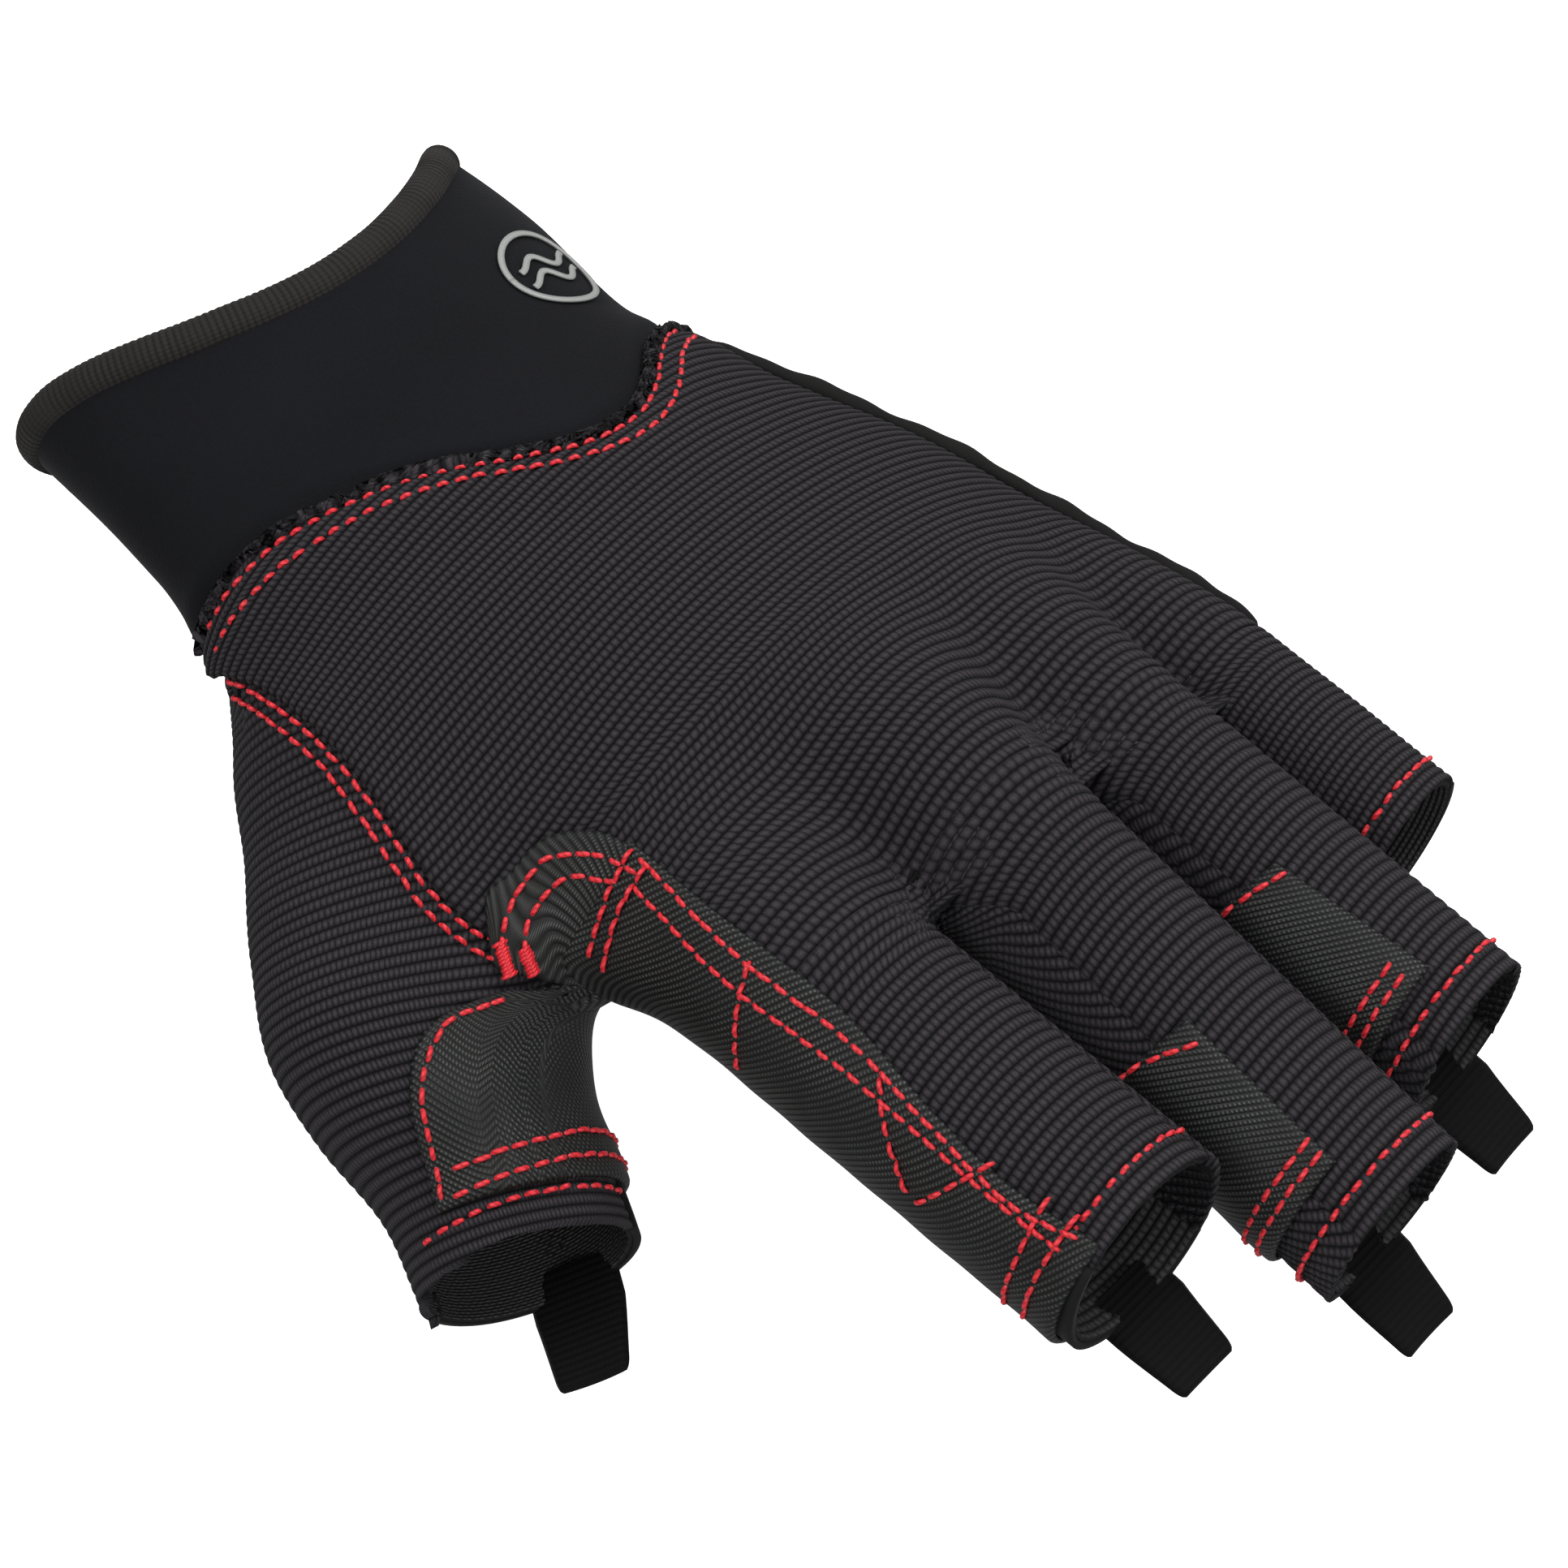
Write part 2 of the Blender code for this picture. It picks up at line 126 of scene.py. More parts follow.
# ---------------------------------------------------------------- limbs
class Limb:
    """A tapering tube of elliptical section in its own frame: it runs along -Y, its back is +Z."""

    def __init__(self, sections, place=np.eye(4), cap=None):
        table = np.array(sections, float)
        table = table[table[:, 0].argsort()]
        self.keys, self.table = table[:, 0], table[:, 1:]
        self.place, self.inverse, self.cap = place, np.linalg.inv(place), cap

    def section(self, y):
        return np.moveaxis(smooth_interp(y, self.keys, self.table), -1, 0)

    def point(self, y, angle):
        """The surface point and the outward normal of its section, in the hand frame."""
        x0, z0, width, height, arch = self.section(y)
        x = x0 + width * np.cos(angle)
        z = z0 + height * np.sin(angle) - arch * (x - ARCH_CENTRE) ** 2
        nx, nz = np.cos(angle) / width, np.sin(angle) / height
        nx = nx + 2 * arch * (x - ARCH_CENTRE) * nz
        size = np.hypot(nx, nz)
        points = np.stack([x, y + 0 * x, z], -1)
        normals = np.stack([nx / size, 0 * x, nz / size], -1)
        return (points @ self.place[:3, :3].T + self.place[:3, 3], normals @ self.place[:3, :3].T)

    def distance(self, points):
        """About the signed distance of hand-frame points from the tube."""
        p = points @ self.inverse[:3, :3].T + self.inverse[:3, 3]
        x0, z0, width, height, arch = self.section(p[..., 1])
        x = p[..., 0] - x0
        z = p[..., 2] - z0 + arch * (p[..., 0] - ARCH_CENTRE) ** 2
        behind = np.maximum(p[..., 1], 0) / self.cap if self.cap else 0.0
        rho = np.sqrt((x / width) ** 2 + (z / height) ** 2 + behind**2) + 1e-9
        grade = np.sqrt((x / width**2) ** 2 + (z / height**2) ** 2) / rho
        return (rho - 1) / np.maximum(grade, 0.5 / np.maximum(width, height))


def finger_place(name):
    hinge, yaw, droop = FINGERS[name][:3]
    return np.array(Matrix.Translation(hinge) @ Matrix.Rotation(math.radians(yaw), 4, "Z")
                    @ Matrix.Rotation(math.radians(droop), 4, "X"))


def thumb_place():
    axis = (THUMB_TIP - THUMB_ROOT).normalized()
    side = axis.cross(Vector((0, 0, 1))).normalized()
    turn = Matrix((side, -axis, side.cross(axis))).transposed().to_4x4()
    return np.array(Matrix.Translation(THUMB_ROOT) @ turn @ Matrix.Rotation(THUMB_ROLL, 4, "Y"))


hand_limb = Limb(HAND_SECTIONS)
thumb_limb = Limb([(-share * THUMB_LENGTH, shift, 0, w, h, 0) for share, shift, w, h in THUMB_SECTIONS],
                  thumb_place(), cap=0.010)
finger_limbs = {
    name: Limb([(0.02, 0, 0, w[0], h[0], 0), (-length, 0, 0, w[1], h[1], 0)], finger_place(name))
    for name, (_, _, _, length, w, h) in FINGERS.items()
}
ORDER = list(FINGERS)
WEB = 0.0030                  # softness of the webs between the fingers, at the knuckle line
THUMB_WEB = 0.016             # softness of the join between thumb and hand


def fingers_distance(points):
    soft = 0.00012 + (WEB - 0.00012) * smoothstep(points[..., 1], FRONT - 0.0095, FRONT + 0.001)
    total = sum(np.exp(-np.clip(limb.distance(points) / soft, -60, 60)) for limb in finger_limbs.values())
    return -soft * np.log(total)


def palm_distance(points):
    """Hand without the thumb: an oval at the wrist, four fingers side by side at the knuckles."""
    share = smoothstep(-points[..., 1], 0.046, 0.081)
    return (1 - share) * hand_limb.distance(points) + share * fingers_distance(points)


def glove_distance(points):
    palm, thumb = palm_distance(points), thumb_limb.distance(points)
    near = np.maximum(THUMB_WEB - np.abs(palm - thumb), 0) / THUMB_WEB
    return np.minimum(palm, thumb) - near**2 * THUMB_WEB / 4


def march(points, normals, distance, start, stop, steps=44):
    """Moves each point along its normal to where the distance first turns positive."""
    levels = np.linspace(start, stop, steps)
    found = np.full(points.shape[:-1], stop)
    before = distance(points + start * normals)
    done = before > 0
    found[done] = start
    for low, high in zip(levels, levels[1:]):
        value = distance(points + high * normals)
        crosses = ~done & (value > 0)
        share = -before[crosses] / (value[crosses] - before[crosses] + 1e-12)
        found[crosses] = low + (high - low) * share
        done |= crosses
        before = value
    return points + found[..., None] * normals


# ---------------------------------------------------------------- surfaces
# Over the thumb's base the hand's rays fan out from this x instead of leaving the oval at right angles
FAN_X, FAN_RADIUS = -0.019, 0.018
FAN_RISE, FAN_FALL = (math.radians(100), math.radians(150)), (math.radians(192), math.radians(220))


def onto_glove(points, steps=7):
    """Moves points onto the glove's surface; returns them and the outward normals."""
    e = 0.0002
    for _ in range(steps):
        grade = np.stack([glove_distance(points + d) - glove_distance(points - d) for d in np.eye(3) * e], -1)
        grade /= 2 * e
        points = points - grade * (glove_distance(points) / np.maximum((grade**2).sum(-1), 0.05))[..., None]
    return points, grade / (np.linalg.norm(grade, axis=-1, keepdims=True) + 1e-12)


class HandSurface:
    """Parameters: y and angle."""

    sign = 1

    def points(self, y, angle):
        points, normals = hand_limb.point(y, angle)
        turned = np.mod(angle, 2 * math.pi)
        over_thumb = (smoothstep(turned, *FAN_RISE) * (1 - smoothstep(turned, *FAN_FALL))
                      * smoothstep(y, -0.074, -0.062) * (1 - smoothstep(y, -0.004, 0.007)))[..., None]
        out = np.stack([np.cos(turned), 0 * turned, np.sin(turned)], -1)
        z = -0.004 - 0.009 * np.clip(-y / 0.055, 0, 1)
        fan = np.stack([FAN_X + 0 * z, y + 0 * z, z], -1) + FAN_RADIUS * out
        points = points + (fan - points) * over_thumb
        normals = normals + (out - normals) * over_thumb
        normals = normals / np.linalg.norm(normals, axis=-1, keepdims=True)
        return march(points, normals, glove_distance, -0.008, 0.018, steps=52)


class ThumbSurface:
    """Parameters: y along the thumb and angle, which runs the other way round here."""

    sign = -1

    def points(self, y, angle):
        points, normals = thumb_limb.point(y, angle)
        return march(points, normals, glove_distance, 0.0, 0.008, steps=24)


class FingerSurface:
    """Parameters: share of the way from the knuckle line to the rim, and angle."""

    sign = 1

    def __init__(self, name):
        self.limb, self.length = finger_limbs[name], FINGERS[name][3]
        self.whole = self.length + FOLD
        at = ORDER.index(name)
        self.planes = [(side, self.middle_plane(name, ORDER[at + side]))
                       for side in (-1, 1) if 0 <= at + side < len(ORDER)]

    def middle_plane(self, name, other):
        """x = a + b * y halfway between two fingers' facing sides, in the hand frame."""
        ends = []
        for y in (FRONT, FRONT - 0.03):
            sides = []
            for one, two in ((name, other), (other, name)):
                hinge, yaw, _, _, widths, _ = FINGERS[one]
                centre = hinge[0] - (y - hinge[1]) * math.tan(math.radians(yaw))
                sign = 1 if ORDER.index(two) > ORDER.index(one) else -1
                sides.append(centre + sign * widths[0])
            ends.append(sum(sides) / 2)
        slope = (ends[1] - ends[0]) / -0.03
        return ends[0] - slope * FRONT, slope

    def y_of(self, share, angle):
        near = np.full(np.shape(angle), FOLD)
        for _ in range(4):
            near = near + (FRONT - self.limb.point(near, angle)[0][..., 1]) / self.limb.place[1, 1]
        rim = END_SLANT * np.sin(angle) - self.length
        return near + (rim - near) * share

    def points(self, share, angle):
        points, normals = self.limb.point(self.y_of(share, angle), angle)
        moved = march(points, normals, fingers_distance, 0.0, 0.006, steps=24)
        for side, (a, b) in self.planes:
            limit = a + b * moved[..., 1] - side * 0.00006
            over = side * (moved[..., 0] - limit) > 0
            moved[..., 0] = np.where(over, limit, moved[..., 0])
        return moved


def normals_of(surface, v, angle, e_v=0.0003, e_a=0.004):
    if isinstance(surface, FingerSurface):
        e_v = e_v / surface.length
    along = surface.points(v + e_v, angle) - surface.points(v - e_v, angle)
    if isinstance(surface, FingerSurface):
        along = -along
    around = surface.points(v, angle + e_a) - surface.points(v, angle - e_a)
    n = np.cross(along, around) * surface.sign
    return n / (np.linalg.norm(n, axis=-1, keepdims=True) + 1e-12)


hand_surface, thumb_surface = HandSurface(), ThumbSurface()
finger_surfaces = {name: FingerSurface(name) for name in FINGERS}


def grid_normals(points):
    """Outward normals of a grid whose rows run towards -Y and columns run with the angle."""
    n = np.cross(np.gradient(points, axis=1), np.gradient(points, axis=0))
    return n / (np.linalg.norm(n, axis=-1, keepdims=True) + 1e-12)


def dip(angle, at, width):
    """A smooth hollow in an edge: 1 at an angle, falling to 0 on both sides."""
    away = np.mod(angle - at + math.pi, 2 * math.pi) - math.pi
    return np.exp(-((away / width) ** 2))


def cuff_seam(angle):
    return SEAM_MIDDLE + SEAM_TILT * np.cos(angle) - SEAM_DIP * dip(angle, SEAM_DIP_AT, SEAM_DIP_WIDTH)


def hem(angle):
    return HEM_SIDE + HEM_TILT * np.cos(angle) - HEM_DIP * dip(angle, HEM_DIP_AT, HEM_DIP_WIDTH)


# ---------------------------------------------------------------- materials
def add_node(tree, kind, inputs=(), **settings):
    """A shader node; an input is a value or another node's socket, by name or number."""
    made = tree.nodes.new(kind)
    for key, value in settings.items():
        setattr(made, key, value)
    for key, value in dict(inputs).items():
        socket = made.inputs[key]
        if isinstance(value, bpy.types.NodeSocket):
            tree.links.new(value, socket)
        else:
            socket.default_value = value
    return made


def math_node(tree, operation, *values):
    return add_node(tree, "ShaderNodeMath", enumerate(values), operation=operation).outputs[0]


def new_material(name, roughness, sheen=0.0, sheen_roughness=0.4, specular=0.5):
    material = bpy.data.materials.new(name)
    material.use_nodes = True
    tree = material.node_tree
    shader = tree.nodes["Principled BSDF"]
    shader.inputs["Roughness"].default_value = roughness
    shader.inputs["Sheen Weight"].default_value = sheen
    shader.inputs["Sheen Roughness"].default_value = sheen_roughness
    shader.inputs["Specular IOR Level"].default_value = specular
    return material, tree, shader


def cloth_axes(tree):
    """The u and v of the cloth's own UV map, as sockets."""
    uv = add_node(tree, "ShaderNodeUVMap", uv_map="cloth")
    parts = add_node(tree, "ShaderNodeSeparateXYZ", [(0, uv.outputs[0])])
    return parts.outputs[0], parts.outputs[1]


def noise(tree, scale, detail=2.0):
    place = add_node(tree, "ShaderNodeTexCoord").outputs["Object"]
    return add_node(tree, "ShaderNodeTexNoise",
                    [("Vector", place), ("Scale", scale), ("Detail", detail)]).outputs[0]


def mix_colours(tree, share, low, high):
    ramp = add_node(tree, "ShaderNodeMix", data_type="RGBA")
    tree.links.new(share, ramp.inputs[0])
    for socket, colour in ((ramp.inputs[6], low), (ramp.inputs[7], high)):
        if isinstance(colour, bpy.types.NodeSocket):
            tree.links.new(colour, socket)
        else:
            socket.default_value = (*colour, 1.0)
    return ramp.outputs[2]


def paint(tree, shader, share, low, high):
    tree.links.new(mix_colours(tree, share, low, high), shader.inputs["Base Color"])


def add_bump(tree, shader, height, strength, distance):
    bump = add_node(tree, "ShaderNodeBump", [("Height", height), ("Strength", strength),
                                             ("Distance", distance)])
    tree.links.new(bump.outputs[0], shader.inputs["Normal"])


def hump(tree, value):
    """0 at whole numbers, 1 halfway between."""
    return math_node(tree, "ABSOLUTE", math_node(tree, "SINE", math_node(tree, "MULTIPLY", value, math.pi)))


def knit_material(name, low, high, roughness=0.9):
    """Ribs of staggered loops: u counts loops along a rib, v counts ribs. The colour is painted shade in the
    grooves and painted highlight on the loop tops.
    """
    material, tree, shader = new_material(name, roughness, sheen=0.04, sheen_roughness=0.5, specular=0.12)
    u, v = cloth_axes(tree)
    stagger = math_node(tree, "MULTIPLY", math_node(tree, "MODULO", math_node(tree, "FLOOR", v), 2.0), 0.5)
    wander = math_node(tree, "MULTIPLY", noise(tree, 900.0), 0.35)
    along = math_node(tree, "ADD", math_node(tree, "ADD", u, stagger), wander)
    loops = math_node(tree, "POWER", hump(tree, along), 0.7)
    ribs = math_node(tree, "POWER", hump(tree, v), 0.7)
    bumps = math_node(tree, "MULTIPLY", ribs, math_node(tree, "MULTIPLY_ADD", loops, 0.62, 0.38))
    fuzz = noise(tree, 5200.0, 3.0)
    height = math_node(tree, "MULTIPLY_ADD", fuzz, 0.35, bumps)
    # painted shade in the grooves between ribs and loops, painted highlight on the loop tops
    groove_shade_top_highlight = math_node(tree, "MULTIPLY", math_node(tree, "POWER", bumps, 1.6),
                      math_node(tree, "MULTIPLY_ADD", fuzz, 1.3, 0.30))
    paint(tree, shader, groove_shade_top_highlight, low, high)
    add_bump(tree, shader, height, 0.9, 0.00035)
    return material


TWILL_RIB, TWILL_STEP = 0.00092, 0.00060     # pitch across the diagonal ribs, and along one


def twill_material(name, low, high, dots):
    """Fine diagonal ribs with paler dots where the float yarns show; u and v in metres."""
    material, tree, shader = new_material(name, 0.5, sheen=0.02, specular=0.30)
    u, v = cloth_axes(tree)
    lean = math_node(tree, "MULTIPLY_ADD", u, 0.72, v)
    ribs = hump(tree, math_node(tree, "MULTIPLY", lean, 1 / TWILL_RIB))
    cross = math_node(tree, "MULTIPLY_ADD", u, 1.1, math_node(tree, "MULTIPLY", v, -0.55))
    steps = hump(tree, math_node(tree, "MULTIPLY", cross, 1 / TWILL_STEP))
    knuckles = math_node(tree, "MULTIPLY", ribs, steps)
    height = math_node(tree, "MULTIPLY_ADD", knuckles, 0.5, math_node(tree, "MULTIPLY", ribs, 0.8))
    patchy = math_node(tree, "MULTIPLY_ADD", noise(tree, 160.0), 1.5, -0.25)
    spots = math_node(tree, "MULTIPLY", math_node(tree, "POWER", knuckles, 6.0), patchy)
    base = mix_colours(tree, math_node(tree, "POWER", ribs, 1.2), low, high)
    paint(tree, shader, add_node(tree, "ShaderNodeClamp", [(0, spots)]).outputs[0], base, dots)
    add_bump(tree, shader, height, 0.55, 0.00018)
    return material


def plain_material(name, low, high, roughness, grain, depth, sheen=0.0, specular=0.4):
    """A close cloth or film: two tones and a bump from fine noise."""
    material, tree, shader = new_material(name, roughness, sheen=sheen, specular=specular)
    fine = noise(tree, grain, 3.0)
    broad = noise(tree, grain / 60, 2.0)
    share = math_node(tree, "MULTIPLY_ADD", broad, 0.5, math_node(tree, "MULTIPLY", fine, 0.5))
    paint(tree, shader, share, low, high)
    add_bump(tree, shader, fine, 0.5, depth)
    return material


def ribbed_material(name, low, high, roughness, pitch_u, pitch_v, depth, specular=0.3):
    """Woven tape: ribs across and fine yarns along; u and v in metres."""
    material, tree, shader = new_material(name, roughness, sheen=0.05, specular=specular)
    u, v = cloth_axes(tree)
    ribs = hump(tree, math_node(tree, "MULTIPLY", u, 1 / pitch_u))
    yarns = hump(tree, math_node(tree, "MULTIPLY", v, 1 / pitch_v))
    height = math_node(tree, "MULTIPLY_ADD", yarns, 0.35, ribs)
    height = math_node(tree, "MULTIPLY_ADD", noise(tree, 4200.0), 0.4, height)
    paint(tree, shader, math_node(tree, "MULTIPLY", height, 0.6), low, high)
    add_bump(tree, shader, height, 0.7, depth)
    return material


def thread_material():
    """Two-ply polyester thread: u runs along the stitch, v round it."""
    material, tree, shader = new_material("thread", 0.42, sheen=0.1, specular=0.55)
    u, v = cloth_axes(tree)
    ply = hump(tree, math_node(tree, "MULTIPLY_ADD", u, 2.4, math_node(tree, "MULTIPLY", v, 2.0)))
    paint(tree, shader, ply, (0.52, 0.004, 0.010), (0.98, 0.030, 0.050))
    add_bump(tree, shader, ply, 0.6, 0.00008)
    return material


MATERIALS = {
    # knit and lining: the first colour is painted shade in the grooves, the second painted highlight on the
    # loop tops
    "knit": knit_material("knit", (0.0030, 0.0028, 0.0034), (0.060, 0.054, 0.062)),
    "lining": knit_material("lining", (0.016, 0.016, 0.016), (0.085, 0.087, 0.086), 0.95),
    "palm": plain_material("palm", (0.0075, 0.0078, 0.0075), (0.018, 0.018, 0.0172), 0.86,
                           grain=2600.0, depth=0.00012, sheen=0.06, specular=0.16),
    "twill": twill_material("twill", (0.0030, 0.0033, 0.0031), (0.0165, 0.0180, 0.0170),
                            dots=(0.170, 0.180, 0.170)),
    "neoprene": plain_material("neoprene", (0.0005, 0.0006, 0.0018), (0.0105, 0.0110, 0.0150), 0.80,
                               grain=2600.0, depth=0.00018, sheen=0.05, specular=0.16),
    "binding": ribbed_material("binding", (0.0050, 0.0045, 0.0041), (0.027, 0.0245, 0.023), 0.85,
                               pitch_u=0.00085, pitch_v=0.0005, depth=0.00022),
    "webbing": ribbed_material("webbing", (0.0018, 0.0018, 0.0017), (0.0055, 0.0053, 0.0052), 0.75,
                               pitch_u=0.0009, pitch_v=0.0006, depth=0.00012, specular=0.14),
    "emblem": plain_material("emblem", (0.36, 0.37, 0.36), (0.46, 0.47, 0.45), 0.45,
                             grain=2500.0, depth=0.00003),
    "thread": thread_material(),
}


# ---------------------------------------------------------------- meshes
def make_mesh(name, points, faces, uvs, material):
    """A mesh object in the world from hand-frame points; uvs has one pair for each face corner."""
    mesh = bpy.data.meshes.new(name)
    mesh.from_pydata(to_world(np.asarray(points)), [], faces)
    layer = mesh.uv_layers.new(name="cloth")
    layer.data.foreach_set("uv", np.asarray(uvs, np.float32).ravel())
    mesh.materials.append(MATERIALS[material])
    mesh.shade_smooth()
    made = bpy.data.objects.new(name, mesh)
    bpy.context.scene.collection.objects.link(made)
    return made


SAME_PLACE = 2e-7            # points nearer than this become one


def sheet_mesh(name, points, uv, material, thickness=0.0, closed=False):
    """A grid of points as a cloth sheet, given thickness inwards. Rows that were clipped to the
    same place leave no faces."""
    rows, columns = points.shape[:2]
    flat = points.reshape(-1, 3)
    _, first, index = np.unique(np.round(flat / SAME_PLACE).astype(np.int64), axis=0, return_index=True,
                                return_inverse=True)
    index = index.reshape(rows, columns)
    last = columns if closed else columns - 1
    r, c = np.meshgrid(np.arange(rows - 1), np.arange(last), indexing="ij")
    r, c = r.ravel(), c.ravel()
    n = (c + 1) % columns
    corners = np.stack([index[r, c], index[r, n], index[r + 1, n], index[r + 1, c]], 1)
    where = np.stack([r * columns + c, r * columns + n, (r + 1) * columns + n, (r + 1) * columns + c], 1)
    flat_uv = uv.reshape(-1, 2)
    faces, uvs = [], []
    for quad, spots, wraps in zip(corners.tolist(), where.tolist(), (c + 1 >= columns).tolist()):
        kept, seen = [], set()
        for vertex, spot in zip(quad, spots):
            if vertex not in seen:
                seen.add(vertex)
                kept.append((vertex, spot))
        if len(kept) < 3:
            continue
        faces.append([vertex for vertex, _ in kept])
        corner_uv = [flat_uv[spot].copy() for _, spot in kept]
        if wraps:
            for at, (_, spot) in enumerate(kept):
                if spot % columns == 0:
                    corner_uv[at][0] += uv[0, -1, 0] - uv[0, 0, 0] + uv[0, 1, 0] - uv[0, 0, 0]
        uvs += corner_uv
    made = make_mesh(name, flat[first], faces, uvs, material)
    if thickness:
        shell = made.modifiers.new("thickness", "SOLIDIFY")
        shell.thickness, shell.offset = thickness, -1.0
    return made


def edge_round(distance, width):
    """1 inside a sheet, falling in a quarter circle to 0 at its edge."""
    t = np.clip(distance / width, 0.0, 1.0)
    return np.sqrt(np.maximum(1 - (1 - t) ** 2, 0.0))


def arc_lengths(points, axis):
    steps = np.linalg.norm(np.diff(points, axis=axis), axis=-1)
    zero = np.zeros_like(np.take(steps, [0], axis=axis))
    return np.cumsum(np.concatenate([zero, steps], axis=axis), axis=axis)


def rib_shape(phase):
    return RIB_HEIGHT * (np.abs(np.sin(math.pi * phase)) ** 0.8 - 0.5)


def ride(piece, part):
    """Bakes a piece's placement into its mesh; every part of the glove is treated the same."""
    if part in FINGERS:
        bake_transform(piece)
    elif part in ("hand", "thumb"):
        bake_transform(piece)
    elif part == "cuff":
        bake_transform(piece)
    return piece


# ---------------------------------------------------------------- seams between hand and thumb
def hand_edge(ys, start, stop):
    """For each y, the angle from start towards stop at which the hand's surface meets the thumb."""
    angles = np.radians(np.linspace(start, stop, 70))
    y, a = np.meshgrid(ys, angles, indexing="ij")
    points = hand_surface.points(y, a)
    gap = thumb_limb.distance(points) - palm_distance(points)
    return first_crossing(gap, angles)


def thumb_edge(angles):
    """For each angle, the y along the thumb at which its surface meets the hand."""
    ys = np.linspace(-THUMB_LENGTH, 0.016, 90)
    a, y = np.meshgrid(angles, ys, indexing="ij")
    points = thumb_surface.points(y, a)
    gap = palm_distance(points) - thumb_limb.distance(points)
    return first_crossing(gap, ys)


def first_crossing(gap, keys):
    """Where each row first turns negative, or the last key."""
    found = np.full(len(gap), keys[-1])
    for i, row in enumerate(gap):
        under = np.nonzero(row < 0)[0]
        if len(under) and under[0] > 0:
            k = under[0]
            share = row[k - 1] / (row[k - 1] - row[k])
            found[i] = keys[k - 1] + share * (keys[k] - keys[k - 1])
        elif len(under):
            found[i] = keys[0]
    return found


def smoothed(values, width=5, closed=False):
    pad = np.pad(values, width, mode="wrap" if closed else "edge")
    kernel = np.hanning(2 * width + 3)[1:-1]
    return np.convolve(pad, kernel / kernel.sum(), mode="valid")


# The upper row of the thumb seam, from the cuff down to the crotch; the lower row runs beside it
SEAM_KNOTS = np.array([(-40, -2, -3), (-41, -9, 1), (-42, -18, 3), (-44, -27, 3), (-46, -36, 1),
                       (-47, -43, -1), (-45, -50, -4), (-41, -54, -5)]) * MM
SEAM_GAP, SEAM_ALLOWANCE = 0.0018, 0.0008
EDGE_Y = np.linspace(FRONT, 0.006, 80)
SIDE_ANGLE = math.radians(168)     # where back and palm meet beside the index finger
CORNER_ANGLE = math.radians(187)   # and beside the thumb's base, at the cuff


def hand_angles(points):
    """The hand's angle nearest to each point, at the point's own y."""
    a = np.radians(np.linspace(110, 205, 381))
    grid = hand_surface.points(points[:, 1:2] + 0 * a, a + 0 * points[:, 1:2])
    return a[np.linalg.norm(grid - points[:, None], axis=-1).argmin(1)]


def beside(knots, distance):
    """A line on the glove that runs at a distance from another one, on its outer side."""
    steps = np.linspace(0, len(knots) - 1, 3 * len(knots))
    points, normals = onto_glove(smooth_interp(steps, np.arange(len(knots), dtype=float), knots))
    side = np.cross(normals, np.gradient(points, axis=0))
    side /= np.linalg.norm(side, axis=-1, keepdims=True)
    return onto_glove(points + side * distance)[0]


def thumb_places(points):
    """The thumb's y and angle of points in the hand frame."""
    local = points @ thumb_limb.inverse[:3, :3].T + thumb_limb.inverse[:3, 3]
    x0, z0, width, height, _ = thumb_limb.section(local[:, 1])
    return local[:, 1], np.arctan2((local[:, 2] - z0) / height, (local[:, 0] - x0) / width)


seam_row = beside(SEAM_KNOTS, SEAM_GAP)
seam_edge = beside(SEAM_KNOTS, SEAM_GAP + SEAM_ALLOWANCE)
seam_y = np.concatenate([[0.006, 0.0012], seam_edge[:, 1], [-0.060, FRONT]])
seam_angle = np.concatenate([[CORNER_ANGLE, CORNER_ANGLE], hand_angles(seam_edge), [SIDE_ANGLE, SIDE_ANGLE]])
BACK_EDGE = np.interp(EDGE_Y, seam_y[::-1], seam_angle[::-1])
PALM_EDGE = smoothed(np.maximum(hand_edge(EDGE_Y, 290, 166), SIDE_ANGLE), 4)
THUMB_ANGLES = np.radians(np.linspace(-70, 310, 153))
start_y, start_angles = thumb_places(seam_edge)
start_order = start_angles.argsort()
start_y, start_angles = start_y[start_order], start_angles[start_order]
THUMB_NEAR = np.where((THUMB_ANGLES > start_angles[0]) & (THUMB_ANGLES < start_angles[-1]),
                      np.interp(THUMB_ANGLES, start_angles, start_y), thumb_edge(THUMB_ANGLES))
ULNAR_ANGLE = math.radians(20)     # where the palm's rolled edge meets the back


def back_edge(y):
    return np.interp(y, EDGE_Y, BACK_EDGE)


def palm_edge(y):
    return np.interp(y, EDGE_Y, PALM_EDGE)


def thumb_near(angle):
    turned = np.mod(angle + math.radians(70), 2 * math.pi) - math.radians(70)
    return np.interp(turned, THUMB_ANGLES, THUMB_NEAR)


def thumb_rim(angle):
    return END_SLANT * np.sin(angle) - THUMB_LENGTH


# ---------------------------------------------------------------- panels
RIB_Y = np.linspace(FRONT, 0.012, 400)
RIB_PITCH = RIB_PITCH_FINGER + (RIB_PITCH_HAND - RIB_PITCH_FINGER) * smoothstep(RIB_Y, -0.080, -0.050)
RIB_COUNT = np.concatenate([[0], np.cumsum(np.diff(RIB_Y) / RIB_PITCH[1:])])


def fill_normals(points):
    """Normals of a grid; rows clipped to one place take the normal of the next row that isn't."""
    n = grid_normals(points)
    for rows in (n, n[::-1]):
        for r in range(len(rows) - 2, -1, -1):
            flat = np.linalg.norm(rows[r], axis=-1) < 0.5
            rows[r][flat] = rows[r + 1][flat]
    return n


def side_distances(points):
    """Distance of each grid point from the low and the high side, along its row."""
    along = arc_lengths(points, 1)
    return along, along[:, -1:] - along


def end_distances(points):
    along = arc_lengths(points, 0)
    return along, along[-1:] - along


def loops_across(points):
    """u in loops, from the mean width of the grid."""
    width = arc_lengths(points, 1).mean(0)
    return np.broadcast_to((width - width.mean()) / LOOP_PITCH, points.shape[:2])


